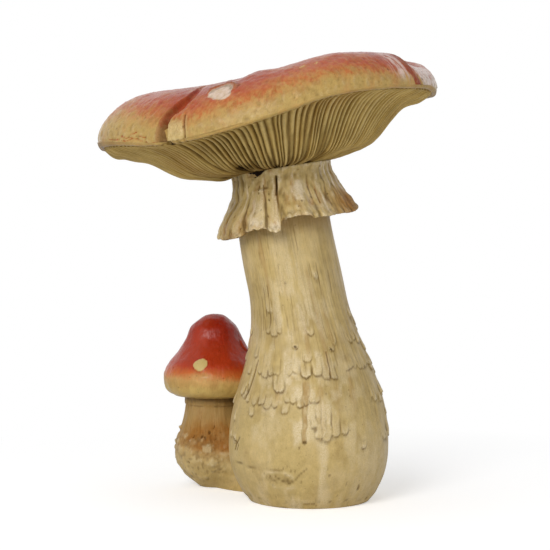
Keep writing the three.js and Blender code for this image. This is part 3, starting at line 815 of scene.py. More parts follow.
def large_stem():
    circle = turns(420, [(270, 62, 1.6)])
    z = stations([(0, 4), (3, 24), (50, 24), (80, 124), (162, 36), (235, 5), (262, 3), (STEM_HEIGHT, 1)])
    z, a = grid(z, circle)
    relief, values = stem_detail(a, z)
    shell = swayed(raised(round_rings(a, stem_radius(z), z), relief))

    # The hollow inside, with the rebate that holds the foot disc
    ceiling = STEM_HEIGHT - STEM_TOP_WALL
    ledge = FOOT_DISC_T + BOND_GAP
    inside = np.array([250, 195, 150, 110, 80, 52, 30, ledge + LEDGE], float)
    profile = [(ROD_HOLE_R, STEM_HEIGHT), (ROD_HOLE_R, ceiling)]
    profile += [(float(stem_radius(np.array(h))) - WALL, h) for h in (ceiling, *inside)]
    profile += [(FOOT_R - WALL - LEDGE, ledge + LEDGE / 2), (FOOT_R - WALL - LEDGE, ledge)]
    profile += [(FOOT_R - WALL, ledge), (FOOT_R - WALL, 0)]
    a_in, r_in, z_in = lathe(profile, circle)
    rings = np.concatenate([swayed(round_rings(a_in, r_in, z_in)), shell])
    brushed = np.where(z < 110, z / 2.5, 44 + (z - 110) / 12)
    flow = np.concatenate([flowing(a_in, z_in, 60, 12), flowing(a, brushed, 60, 1)])
    return skin("large_stem_dressed", rings, cream_paint, lined(values, {"paint": 0.5}, z_in), flow)


# Skirt round the neck

# The hem's drop, its flare, and how far each fold stands out, as (degrees, millimetres)
HEM_DROP = [
    (187, 54), (198, 53.4), (206, 53), (219, 53.4), (229, 50.2), (233, 48), (240, 48.2), (244, 46.6),
    (253, 46.5), (256.5, 47.5), (258, 50), (262, 51.8), (266.6, 51.3), (267.9, 42), (272, 41.2),
    (280, 40.1), (285, 40.2), (291, 42), (299, 43.8), (307, 43.6), (319, 43.6), (338, 44.3), (350, 41),
    (358, 42), (372, 44), (385, 40), (400, 43), (412, 47), (425, 43), (440, 46), (452, 49), (464, 44),
    (480, 48), (495, 52), (508, 47), (522, 51), (536, 52.4),
]
HEM_FLARE = [
    (200, 17.2), (230, 17), (262, 19), (290, 18.5), (320, 19), (348, 20.5), (370, 20), (430, 20),
    (500, 18),
]
FOLDS = [
    (200, 1.8), (207, 1.4), (213, 1.8), (220, 2.2), (226, 0.4), (231, -2.4), (235, -1.4), (241, 1.8),
    (248, 2.8), (253.5, 2.5), (255.8, 1.0), (258.5, 1.9), (262.5, 2.8), (266, 2.4), (268.6, -0.6),
    (272, -1.6), (279, 0.6), (288, 2.4), (296, 1.2), (301, -0.8), (306, 0.5), (312, 0.2), (318, -1),
    (324, -1.8), (330, -0.6), (340, 1.8), (350, 2.6), (358, 1), (367, -3.2), (376, 2.2), (388, -3),
    (401, 2.6), (412, 1.4), (421, -3.4), (432, 2.4), (446, -2.8), (459, 2.8), (471, -3.3), (484, 2.4),
    (497, -3), (509, 2.8), (521, -2.6), (532, 2), (545, -2.8),
]
# Patches of painted highlight, painted sheen and brown stain as (degrees, distance below the top, half
# width, half length, strength)
SKIRT_HIGHLIGHTS = [
    (287, 25, 7, 10, 0.8), (247, 31, 5, 10, 0.7), (262, 32, 3, 10, 0.6), (241, 40, 5, 5, 0.5),
    (301, 40, 9, 3, 0.5), (214, 30, 2.5, 14, 0.5), (222, 33, 2, 12, 0.4), (262, 4, 6, 2, 0.5),
    (325, 3, 6, 3, 0.7),
]
SKIRT_SHEENS = [
    (322, 8, 1.6, 10, 0.9), (328, 12, 1.4, 14, 0.95), (336, 16, 1.3, 13, 0.9), (345, 20, 2.2, 14, 0.6),
    (312, 38, 1.2, 8, 0.8), (289, 23, 7, 10, 0.4), (295, 33, 2, 6, 0.5), (246, 42, 7, 4, 0.4),
    (263, 44, 5, 4, 0.45), (284, 8, 1.6, 8, 0.4), (242, 28, 2.4, 12, 0.35), (227, 22, 1.6, 14, 0.4),
]
SKIRT_BROWNS = [
    (297, 34, 3, 5, 0.8), (306, 28, 1.2, 12, 0.7), (310, 32, 1.0, 8, 0.7), (254, 22, 2, 10, 0.4),
    (262.5, 41, 1.6, 2.2, 0.8), (276, 30, 3, 9, 0.4), (243, 14, 5, 7, 0.4), (318, 34, 4, 9, 0.5),
    (206, 40, 7, 9, 0.5), (218, 46, 8, 3, 0.6), (250, 46, 6, 1.5, 0.5),
]
# Grooves down the skirt as (degrees, distance below its top)
SKIRT_SLOT = [(265.6, 7), (265.9, 12), (265.5, 20)]
SKIRT_CREASE = [(251, 13), (254.5, 24), (255.8, 36), (255.8, 47)]
FINE_CREASES = [
    [(230, 37), (231, 49)], [(218, 41), (216, 50)], [(305.5, 24), (306, 36)],
    [(299, 20), (300.5, 31)], [(266, 21), (268.3, 46)], [(322, 14), (320, 27)],
]
SKIRT_PITS = [
    (245.8, 13.5, 0.9), (246.4, 18.5, 0.8), (246, 16, 0.6), (300, 30, 0.8), (288, 34, 0.7),
    (258, 24, 0.7),
]
SKIRT_LENGTH = 48
COLLAR = 4.4
HUB_GAP = 0.4


def neck_skirt():
    circle = turns(560, [(268, 40, 0.8)])
    share = stations([(0, 70), (0.97, 6), (1.0, 1)])
    s, a = grid(share, circle)

    # The ragged hem, the flare and the folds
    drop = around(HEM_DROP, a) + 0.9 * turning(a, 0, 14, 10, 2, 51) + 0.7 * turning(a, 0, 45, 10, 2, 50)
    flare = around(HEM_FLARE, a)
    late = np.radians(4) * turning(a, s, 3, 0.5, 2, 52)
    fold = 1.25 * around(FOLDS, a + late * (1 - s)) * smooth(s, 0.1, 0.9)
    calm = towards(a, 300, 34) * fade(s, 0.35, 0.95) + towards(a, 212, 26) * fade(s, 0.45, 1.0)
    fold = fold * (1 - 0.65 * calm) + 1.3 * turning(a, s, 4, 0.5, 2, 68) * smooth(s, 0.05, 0.5)
    fold += 2.4 * towards(a, 249, 9) * smooth(s, 0.31, 0.345) * fade(s, 0.36, 0.8)
    fold += 1.6 * bell(s - 0.96, 0.05) * (0.6 + 0.8 * turning(a, 0, 22, 10, 2, 49))

    # Fine ribs and dents, grooves, creases and pits
    slanted = a + 0.6 * late
    relief = 0.08 * turning(slanted, s, 26, 0.9, 3, 53) + 0.06 * turning(slanted, s, 70, 0.5, 2, 54)
    relief += 1.5 * turning(a, s, 9, 0.22, 2, 61) + 0.6 * turning(a, s, 18, 0.09, 2, 48)
    relief += 0.35 * towards(a, 337, 22) * turning(a, s, 34, 2.5, 2, 55)
    down = s * SKIRT_LENGTH
    slot, slot_dark = groove(a, down, 46, SKIRT_SLOT, 2.0, 2.8)
    relief += slot
    creases, crease_dark = groove(a, down, 52, SKIRT_CREASE, 1.2, 0.8)
    relief += creases
    for path in FINE_CREASES:
        more, dark = groove(a, down, 54, path, 1.3, 0.8)
        relief += more
        crease_dark = most(crease_dark, 0.8 * dark)
    rng = np.random.default_rng(8)
    fine_pits = [(rng.uniform(0, 360), rng.uniform(8, 44), rng.uniform(0.4, 0.8)) for _ in range(40)]
    dots = np.zeros_like(s)
    for at, below, size in SKIRT_PITS + fine_pits:
        hole = spot(a, down, 52, at, below, size * 1.2)
        relief -= 0.6 * hole
        dots = most(dots, hole)

    # The outline, clear of the stem and of the hub above it
    leftness = towards(a, 205, 42)
    rightness = towards(a, 345, 40)
    curve = lerp(lerp(s**1.6, s**1.2, rightness), smooth(s, 0.3, 0.86), leftness)
    collar = 4.2 * fade(s, 0.0, 0.2) ** 1.5 * (1 + 0.9 * turning(a, 0, 6, 10, 2, 62))
    collar = collar * (1 - 0.95 * leftness) * (1 - 0.9 * towards(a, 352, 24))
    outer_r = SKIRT_TOP_R - 4.3 * leftness + flare * curve + fold + collar
    outer_z = STEM_HEIGHT + COLLAR - (drop + COLLAR) * s
    outer_r = most(
        outer_r,
        stem_radius(outer_z) + BOND_GAP + SKIRT_T / 2,
        hub_radius(a) + 1.8 - 0.35 * down,
    )

    # Wash in the hollows, with painted shade on the left under the gills, and a near-black painted shadow
    # where the skirt meets the gills
    hollow = averaged(relief + 0.8 * fold, 3, 10) - relief - 0.8 * fold
    rim = smooth(s, 0.93, 1.0)
    gap = towards(a, 242, 11)
    ragged = down - 7 * gap + 1.2 * turning(a, 0, 18, 10, 3, 40) + 1.2
    shade_line = fade(ragged, -0.7, 0.5) * smooth(gap, 0.05, 0.3)
    shade = towards(a, 208, 24)
    brown = towards(a, 342, 19) * smooth(s, 0.3, 0.75)
    edge_line = bell(s - 0.93 - 0.04 * turning(a, 1, 30, 1, 1, 57), 0.02)
    wash_and_shade = most(
        np.clip(0.95 * hollow - 0.08, 0, 0.7),
        slot_dark,
        0.8 * dots,
        0.75 * crease_dark,
        0.4 * edge_line * smooth(turning(a, 0, 16, 1, 2, 47), -0.3, 0.3),
        0.13 * smooth(turning(slanted, s, 34, 0.6, 3, 63), 0.1, 0.5),
    )
    wash_and_shade += 0.38 * shade * (1 - wash_and_shade) * smooth(turning(a, s, 8, 0.5, 3, 69), -0.6, 0.3)
    wash_and_shade = most(
        wash_and_shade,
        0.35 * rim * smooth(turning(a, s, 20, 0.5, 2, 64), -0.1, 0.5),
        0.35 * brown * smooth(turning(a, s, 18, 0.8, 3, 67), -0.2, 0.4),
        shade_line,
    )

    # Rubbed edges and painted highlights on the fold ridges, stains, and streaks of painted sheen
    torn = 1.6 + 1.4 * turning(a, 0, 16, 1, 3, 44)
    pale_and_highlight = most(
        np.clip(-1.3 * hollow - 0.05, 0, 0.75),
        0.75 * rim * smooth(turning(a, s, 16, 0.5, 2, 58), -0.2, 0.3),
        0.55 * smooth(turning(a, s, 9, 0.3, 3, 59), 0.0, 0.4) * smooth(s, 0.25, 0.5),
        0.6 * smooth(fold, 1.6, 3.6) * smooth(turning(a, s, 20, 0.3, 2, 46), -0.4, 0.3),
        patches(a, down, 50, SKIRT_HIGHLIGHTS, 65),
        0.6 * bell(down - torn, 1.1) * smooth(turning(a, s, 9, 1, 2, 43), -0.3, 0.2),
    )
    pale_and_highlight = pale_and_highlight * (1 - 0.7 * brown) * (1 - 0.55 * shade)
    stain = most(
        0.9 * brown,
        0.45 * smooth(turning(a, s, 10, 0.4, 3, 60), 0.15, 0.5),
        0.5 * rim * smooth(turning(a, s, 14, 0.5, 2, 45), 0.0, 0.4),
        patches(a, down, 52, SKIRT_BROWNS, 66),
    )
    # Streaks of painted sheen
    sheens = patches(a, down, 50, SKIRT_SHEENS, 42) * smooth(turning(a, s, 26, 0.16, 3, 41), -0.7, -0.05)
    wash_and_shade *= 1 - 0.7 * sheens
    bare_and_sheen = sheens * (1 - shade_line)
    values = {"paint": 0.45 - 0.45 * shade, "wash_and_shade": wash_and_shade, "pale_and_highlight": pale_and_highlight, "stain": stain, "bare_and_sheen": bare_and_sheen}

    # Rings down the inside and up the outside
    up = slice(None, None, -1)
    settled = relief * (1 - rim * 0.4) * smooth(s, -0.05, 0.06)
    outer = raised(round_rings(a, outer_r, outer_z)[up], settled[up])
    inner_s = stations([(0.16, 12), (1.0, 1)])
    s_in, a_in = grid(inner_s, circle)
    at_row = np.searchsorted(share, inner_s).clip(0, len(share) - 1)
    inner_z = outer_z[at_row]
    inner_r = most(stem_radius(inner_z) + BOND_GAP, outer_r[at_row] - SKIRT_T)
    hub_r = hub_radius(circle) + HUB_GAP
    top_r = np.stack([hub_r, hub_r, NECK_R + BOND_GAP + 0 * circle])
    top_z, a_top = grid([STEM_HEIGHT + COLLAR, STEM_HEIGHT - 0.5, STEM_HEIGHT - 0.6], circle)
    inner_r = np.concatenate([top_r, inner_r])
    inner_z = np.concatenate([top_z, inner_z])
    a_in = np.concatenate([a_top, a_in])
    s_in = np.concatenate([0 * top_r, s_in])
    rings = swayed(np.concatenate([round_rings(a_in, inner_r, inner_z), outer]))
    values = {key: value[up] for key, value in values.items()}
    values = lined(values, {"paint": 0.5, "wash_and_shade": 0.3 + 0.2 * s_in, "stain": 0.4}, s_in)
    flow = np.concatenate([flowing(a_in, 46 * s_in, 52, 10), flowing(a, 46 * s, 52, 10)[up]])
    return skin("neck_skirt_dressed", rings, cream_paint, values, flow)


# Wide cap

# Creases as (path of (share of the radius, degrees), half width in degrees at the lip, depth)
CREASES = [
    (
        [(0.45, 235), (0.6, 236), (0.72, 238), (0.82, 238.3), (0.9, 235.6), (0.96, 232.6), (1, 231.8)],
        2.5, 8.5,
    ),
    ([(0.45, 335), (0.62, 334), (0.83, 331.8), (0.93, 329.3), (0.985, 329.3), (1, 331)], 1.6, 4.5),
    ([(0.45, 37), (0.8, 32), (1, 30)], 1.8, 4),
    ([(0.45, 86), (0.75, 90), (1, 93.75)], 2.1, 5),
    ([(0.45, 167), (0.8, 162), (1, 161.25)], 1.8, 4),
]
# The two that the photograph shows, by their places in the list
LEFT_CREASE = 0
RIGHT_CREASE = 1


def crease_cut(a, share):
    """Depth of the creases in millimetres, the painted shadow in each, and where their walls lie."""
    cut = np.zeros_like(a)
    dark = np.zeros_like(a)
    wall = np.zeros_like(a)
    for i, (path, half, depth) in enumerate(CREASES):
        shares = [s for s, _ in path]
        middle = np.interp(share, shares, [at for _, at in path])
        along = np.clip((share - shares[0]) / (1 - shares[0]), 0, 1)
        width = math.radians(half) * lerp(0.25, 1, along ** (1.6 if i == LEFT_CREASE else 0.8))
        across = apart(a, middle) / width
        deep = smooth(along, 0, 0.7)
        if i == LEFT_CREASE:
            # A notch beside the lip, and above it a step that fades to the right
            deep = smooth(along, 0.12, 0.98)
            shape = smooth(across, -1.15, 0.62) * fade(across, 0.72, 1.0)
            shadow = smooth(across, -1.0, -0.4) * fade(across, 0.8, 1.0)
            shadow *= 0.62 + 0.38 * smooth(across, -0.3, 0.45)
            side = 1.7 * smooth(across, -1.15, -1.0) * fade(across, 0.8, 1.0)
            upper = fade(share, 0.9, 0.965)
            step = smooth(across, -1.15, -0.6)
            shape = lerp(shape, 0.8 * step * fade(across, -0.4, 2.8), upper)
            shadow = lerp(shadow, 0.7 * bell(across + 0.95, 0.4), upper)
            side = lerp(side, 1.5 * step * fade(across, -0.5, 0.9), upper)
        elif i == RIGHT_CREASE:
            # A step down to the lobe at the right
            shape = smooth(across, -1.0, 0.1) * (0.8 + 0.2 * fade(across, 0.3, 1.2))
            shape *= fade(across, 3, 20) * (1 - 0.5 * smooth(share, 0.93, 1))
            shadow = smooth(across, -3.0, -2.5) * fade(across, 0.0, 0.5)
            side = 1.3 * shadow
        else:
            shape = shadow = side = bell(across, 0.62)
        cut += depth * shape * deep
        dark = most(dark, shadow * deep)
        wall = most(wall, side * deep)
    return cut, dark, wall


def crease_middle(share):
    """Direction of the near right crease in degrees, along the radius."""
    path = CREASES[RIGHT_CREASE][0]
    return np.interp(share, [s for s, _ in path], [at for _, at in path])


def dome_height(a, share):
    """Height of the dome above the cap's frame, and how far up its arch that is, from 0 to 1."""
    sway = waves(LIP_WAVES, a) + waves(SHOULDER_WAVES, a)
    shoulder = SHOULDER_HEIGHT + share**2 * sway - CROWN_DIP * (1 - share**2) ** 2
    arch = np.sqrt(np.clip(1 - share**DOME_FULLNESS, 0, 1))
    return lerp(lip_height(a) + LIP_ROUND, shoulder, arch), arch


def even_shares(count):
    """Shares of the radius from lip to crown, evenly spaced along the dome's outline."""
    fine = 1 - np.linspace(0, 1, 4001) ** 2
    height = lerp(LIP_HEIGHT, SHOULDER_HEIGHT, np.sqrt(1 - fine**DOME_FULLNESS))
    run = np.concatenate([[0], np.cumsum(np.hypot(np.diff(fine * CAP_R), np.diff(height)))]) ** 0.92
    return np.interp(np.linspace(0, run[-1], count), run, fine)


# Heights above the lip where the red starts and where it is full, as (degrees, millimetres)
RED_LOW = [
    (0, 10), (30, 12), (90, 14), (160, 13), (185, 15), (205, 24), (222, 20), (232, 16), (240, 16),
    (250, 15), (275, 16), (300, 15), (316, 9), (332, 7), (345, 8),
]
RED_HIGH = [
    (0, 26), (30, 28), (90, 30), (160, 28), (185, 30), (205, 38), (222, 36), (232, 32), (250, 32),
    (275, 35), (300, 32), (316, 22), (332, 18), (345, 20),
]
# Cracks in the red by the lip as (degrees, height above the lip)
LIP_CRACKS = [
    [(205, 5.0), (209, 4.4), (212, 5.4)],
    [(213, 8.0), (216, 6.4), (219.5, 7.6)],
    [(214, 3.8), (217.5, 4.6), (220, 6.6)],
    [(218, 9.6), (221, 11.6)],
    [(220.5, 6.0), (223.5, 4.2), (226, 2.4), (229, 2.0)],
    [(222, 8.0), (225, 7.4)],
]
# Broad swellings of the dome as (degrees, share of the radius, half width in mm, height)
SWELLINGS = [
    (267, 0.7, 14, 2.4), (254, 0.68, 12, -2.0), (224, 0.78, 22, 1.5), (302, 0.75, 24, 2.0),
    (341, 0.88, 15, -5.4), (338.5, 0.73, 17, -3.6), (353, 0.93, 10, 1.8), (20, 0.7, 22, 1.8),
    (70, 0.75, 20, -1.6), (120, 0.7, 24, 2.0), (196, 0.72, 20, 0.8), (189, 0.955, 13, -6.4),
    (350, 0.865, 14, -6.6), (7, 0.86, 16, -6.4), (276, 0.64, 34, -1.8), (224, 0.52, 28, -0.8),
    (275, 0.4, 26, 1.4), (330, 0.45, 24, -1.2), (60, 0.35, 22, 1.2), (150, 0.4, 24, -1.4),
]
# Bare specks as (degrees, share of the radius)
SPECKS = [(283.8, 0.874), (284.8, 0.87), (289.6, 0.885), (290.2, 0.875)]
# Dark dots as (degrees, distance up from the lip, size)
CAP_DOTS = [
    (315.9, 20, 1.5), (333, 9, 1.6), (240.5, 14, 1.2), (331, 14, 1), (338, 20, 1), (341, 30, 1.2),
    (309, 60, 1.4),
]
# Radii at which marks near the lip, the specks and the wart are measured
MARGIN_R = 150
SPECK_R = 140
WART_R = 131
# The pale wart, the block that stands beside the left crease, and the split at the block's right
WART_AT = 252.9
WART_SHARE = 0.852
BLOCK_START = 234
BLOCK_END = 240.2
SPLIT = [(240.4, -4), (240.9, 8), (240.5, 22)]


def arc_at(share):
    """Distance up from the lip, along the radius and the height, of a share of the dome's radius."""
    arch = math.sqrt(1 - share**DOME_FULLNESS)
    return (1 - share) * CAP_R + lerp(LIP_ROUND, SHOULDER_HEIGHT - LIP_HEIGHT, arch)


def swelling(x, y):
    """Height of the dome's swellings and dents in millimetres."""
    total = np.zeros_like(x)
    for at, out, wide, height in SWELLINGS:
        angle = math.radians(at)
        off = np.hypot(x - CAP_R * out * math.cos(angle), y - CAP_R * out * math.sin(angle))
        total += height * bell(off, wide)
    return total


def cap_dome():
    circle = turns(640, [(235, 9, 2.0), (329, 7, 0.9), (270, 60, 0.35)])
    share, a = grid(even_shares(132), circle)

    # The dome's form, its creases, and the distances up and along from its lip
    cut, dark, wall = crease_cut(a, share)
    z = dome_height(a, share)[0]
    up = z - lip_height(a)
    arc = (1 - share) * CAP_R + up
    r = lip_radius(a)
    flat_x = r * share * np.cos(a)
    flat_y = r * share * np.sin(a)

    # Swellings, wrinkles and pores, with the wart's low hollow and its raised brow
    relief = 1.4 * rough(flat_x / 55, flat_y / 55, 0, 2, 61) + swelling(flat_x, flat_y)
    place = flat_x, flat_y, up
    leather = lumpy(place, 5, 3, 62)
    pores = lumpy(place, 2.2, 2, 63)
    margin = fade(up, 8, 26)
    curls = turning(a + 0.02 * leather, arc, 44, 9, 2, 71)
    relief += 0.5 * leather + 0.28 * pores + 0.5 * margin * curls
    wart_x = apart(a, WART_AT) * WART_R
    wart_y = arc - arc_at(WART_SHARE)
    tilted = wart_x + 0.12 * wart_y
    corner = np.arctan2(wart_y / 17, tilted / 11)
    off = np.hypot(tilted / 11.5, wart_y / 16.5) + 0.1 * np.cos(3 * corner + 0.6)
    off = off + 0.07 * noise(tilted / 3, wart_y / 4, 0, 64)
    wart = fade(off, 0.93, 1.02)
    brow = bell(off - 1.15, 0.14) * smooth(wart_y + 0.4 * wart_x, -4, 8)
    relief = relief - 0.3 * wart + 2.0 * brow

    # Specks, dots, cracks, and the block
    specks = np.zeros_like(share)
    for i, (at, out) in enumerate(SPECKS):
        x = apart(a, at) * SPECK_R
        ragged = np.hypot(x / 1.3, (arc - arc_at(out)) / 2) + 0.5 * noise(x, arc, i, 72)
        specks = most(specks, fade(ragged, 0.6, 1.1))
    dots = np.zeros_like(share)
    rng = np.random.default_rng(3)
    spots = list(CAP_DOTS)
    spots += [(rng.uniform(0, 360), rng.uniform(6, 110), rng.uniform(0.4, 0.9)) for _ in range(160)]
    spots += [(rng.uniform(332, 352), rng.uniform(6, 50), rng.uniform(0.5, 1.1)) for _ in range(24)]
    for at, height, size in spots:
        dots = most(dots, spot(a, arc, MARGIN_R, at, height, size) * min(1, 0.3 + size / 2))
    relief += 0.3 * specks - 0.4 * dots
    lip_cracks = np.zeros_like(share)
    frayed = up + 0.9 * pores + 1.2 * leather
    for path in LIP_CRACKS:
        lip_cracks = most(lip_cracks, groove(a, frayed, MARGIN_R, path, 1.4, 1)[1])
    relief -= 0.35 * lip_cracks
    jagged = a + 0.004 * noise(up / 3, 0, 0, 73)
    block = smooth(apart(jagged, BLOCK_START), 0, 0.012) * smooth(-apart(jagged, BLOCK_END), 0, 0.008)
    above = block * fade(up, 20, 34)
    block *= fade(up + 1.2 * pores, 14.5, 20)
    relief += 0.5 * block
    split, split_dark = groove(a, up, MARGIN_R, SPLIT, 1.4, 1.4)
    relief += split
    rings = raised(round_rings(a, r * share, z), relief * smooth(share, 0, 0.08) - cut)

    # Airbrushed red, and the lobe beyond the right crease, where it is rubbed off
    low = around(RED_LOW, a)
    high = around(RED_HIGH, a)
    cloud = lumpy(place, 17, 3, 65)
    strokes = rough(flat_x / 5.8, flat_y / 5.8, up / 60, 3, 66)
    height = up + 3.4 * cloud + 1.2 * strokes
    paint = 0.36 * smooth(height, low - 7, low + 5) + 0.34 * smooth(height, low + 1, high + 2)
    paint += 0.3 * smooth(height, high - 2, high + 16)
    paint -= 0.25 * smooth(cloud, 0.1, 0.7) * smooth(up, 20, 34)
    paint = np.minimum(paint, 1 - 0.4 * above) * (1 - 0.95 * block)
    before = -apart(a, crease_middle(share))
    lobe = smooth(-before, math.radians(1.0), math.radians(2.2))
    lobe *= fade(apart(a, 329), math.radians(16), math.radians(34))
    lobe *= smooth(share, 0.6, 0.8) * (np.cos(a - math.radians(345)) > 0)
    walls = np.minimum(wall, 1)
    right = smooth(a, math.radians(300), math.radians(310))
    paint = most(
        paint,
        0.54 * smooth(lip_cracks, 0.3, 0.9),
        0.8 * brow,
        walls * lerp(0.74 * smooth(up, 6, 28), 0.8, right),
    )
    paint *= (1 - wart) * (1 - specks)
    dotted = smooth(lumpy(place, 3.4, 2, 78), 0.08, 0.4)
    paint = most(paint, 0.72 * lobe * dotted * smooth(up, 4, 12))

    # Wash with painted shadow in the creases, a little darker towards the left of the margin, stains,
    # dry-brushed paint with painted highlights on the front margin, and bare casting with painted sheen
    # beside the right crease
    hollow = averaged(relief, 3, 3) - relief
    speckle = smooth(pores, 0.15, 0.5)
    wash_and_shade = most(
        np.clip(1.3 * hollow - 0.08, 0, 0.55),
        lerp(0.88, 0.14, right) * dark * (1 - 0.7 * smooth(up, 22, 42) * (1 - right)),
        0.75 * dots,
        0.8 * split_dark,
        0.12 * brow,
        0.3 * lobe * speckle,
        0.1 * margin * smooth(curls, 0.05, 0.5),
    )
    wash_and_shade += 0.07 * (1 - wash_and_shade) * margin * towards(a, 238, 46)
    stain = most(
        walls * lerp(0.5 - 0.42 * smooth(up, 16, 36), 0.45, right),
        0.7 * brow,
        0.4 * bell(height - low - 2, 9) * smooth(leather + 0.3 * curls, 0.05, 0.35),
        0.22 * speckle * (0.4 + 0.6 * margin),
    )
    # Painted highlights on the front margin and its belly
    belly = bell(up - 7, 5) * towards(a, 254, 16)
    pale_and_highlight = most(
        np.clip(-1.2 * hollow - 0.04, 0, 0.5) * (0.35 + 0.65 * margin),
        0.5 * block,
        0.08 * margin * towards(a, 262, 26) * smooth(-curls, -0.2, 0.35),
        0.08 * belly * smooth(cloud, -0.5, 0.2),
        0.25 * smooth(-strokes, 0.2, 0.6) * smooth(up, 26, 40),
    )
    whitened = smooth(0.6 * cloud + 0.9 * pores + 0.5 * smooth(36 - up, 0, 30), -0.35, 0.3)
    # Painted sheen in a band left of the right crease
    sheen = smooth(before, math.radians(4.4), math.radians(5)) * smooth(share, 0.6, 0.78)
    sheen *= fade(before, math.radians(8), math.radians(14)) * smooth(up, 3, 14)
    brushed = turning(a + 0.15 * (1 - share), arc, 150, 30, 2, 77)
    bare_and_sheen = most(
        wart * (0.68 + 0.25 * noise(wart_x / 2, wart_y / 3, 0, 68)),
        0.95 * lobe * whitened * smooth(up, -1, 3) * (1 - 0.7 * dotted),
        0.8 * sheen * smooth(brushed, -0.35, 0.25),
    )
    values = {"paint": paint, "wash_and_shade": wash_and_shade, "pale_and_highlight": pale_and_highlight, "stain": stain, "bare_and_sheen": bare_and_sheen}

    # The beaded lip, chipped at the block, and the hollow inside
    notch = crease_cut(circle, np.ones_like(circle))[0]
    in_block = smooth(apart(circle, 235.6), 0, 0.008) * smooth(-apart(circle, 239.8), 0, 0.008)
    base = lip_height(circle) + 0.6 * turning(circle, 0, 12, 30, 3, 70)
    base += 0.3 * turning(circle, 0, 60, 30, 2, 74)
    base -= in_block * (1.4 * smooth(noise(circle * 90, 0, 0, 75), -0.2, 0.2) - 1.0)
    base += 2.4 * towards(circle, 234.4, 0.6) + 0.8 * bell(apart(circle, 240.4), 0.006) + 0.4 * notch
    hang = 5.2 * towards(circle, 183, 21) + 4.2 * towards(circle, 0, 15)
    steps = np.radians(stations([(-90, 7), (-12, 1)]))[:, None]
    bead = LIP_ROUND + 0.6
    centre = lip_radius(circle) - notch - bead
    inner_r = lip_radius(circle) - WALL
    hollow_shares = np.array([0.4, 0.7, 0.86])[:, None]
    hollow_r = lip_radius(circle) * hollow_shares
    dents = np.minimum(swelling(hollow_r * np.cos(circle), hollow_r * np.sin(circle)), 0)
    hollow_z = dome_height(circle[None, :], hollow_shares)[0] - WALL + 1.4 * dents
    top = dome_height(circle, np.zeros_like(circle))[0] - WALL
    mouth_r = np.minimum(np.minimum(inner_r, centre - 0.5) + 0.6, centre)
    under_r = np.stack([0.02 * inner_r, *hollow_r, inner_r - LEDGE, inner_r, inner_r, mouth_r])
    under_z = np.stack(
        [top, *hollow_z, base + LIP_DEPTH, base + LIP_DEPTH, base - hang + 0.4, base - hang]
    )
    under_r = np.concatenate([under_r, centre + bead * np.cos(steps)])
    under_z = np.concatenate([under_z, base + bead + (bead + hang) * np.sin(steps)])
    under_a = np.broadcast_to(circle, under_r.shape)
    # Wash on the beaded lip, with painted shade under the parts that hang low
    bead_wash_and_shade = 0.1 * smooth(noise(circle * 30, 0, 0, 76), -0.2, 0.5)
    bead_wash_and_shade = bead_wash_and_shade + 0.08 * hang * fade(steps, -0.3, 0.0)
    lip_wash_and_shade = np.concatenate([np.full((len(under_r) - len(steps), circle.size), 0.1), bead_wash_and_shade])
    lining = {"paint": 0.05, "wash_and_shade": lip_wash_and_shade, "stain": 0.2 * towards(circle, 192, 26)}
    under_flow = flowing(under_a, -under_z / 4, MARGIN_R, 1)
    flow = np.concatenate([under_flow, np.stack([flat_x, flat_y, up / 4], -1)])
    rings = on_stem_top(np.concatenate([round_rings(under_a, under_r, under_z), rings]))
    return skin("cap_dome_dressed", rings, cap_paint, lined(values, lining, under_r), flow, capped=True)


GILLS = 152
# Dips and rises of the gill plate as (degrees, half width, share of its run, half length, height)
GILL_SHAPES = [
    (183, 27, 0.83, 0.15, -10.6), (180, 24, 0.95, 0.06, -5.6), (0, 20, 0.9, 0.1, -4.8),
    (340, 32, 0.24, 0.15, 4.4),
]


def hub_radius(a):
    """The gill plate's hub, slimmer on the left, where the neck runs straight up into the gills."""
    return HUB_R - 4.2 * towards(a, 196, 50) - 2.4 * towards(a, 355, 34)


def gill_phase(a):
    """Each gill's place as a number that climbs by GILLS in a turn, unevenly."""
    uneven = 0.45 * turning(a, 0, 13, 1, 1, 71) + 0.16 * turning(a, 0, 45, 1, 1, 72)
    return a / (2 * np.pi) * GILLS + uneven


def belly_height(a, run):
    """Height of the plate's belly as it climbs from the hub to the lip."""
    climbed = 0.5 + 0.5 * np.tanh((run - (BELLY_EDGE - LEFT_BELLY * np.cos(a))) / BELLY_SOFTNESS)
    return GILL_START + (lip_height(a) - GILL_HANG - GILL_START) * climbed


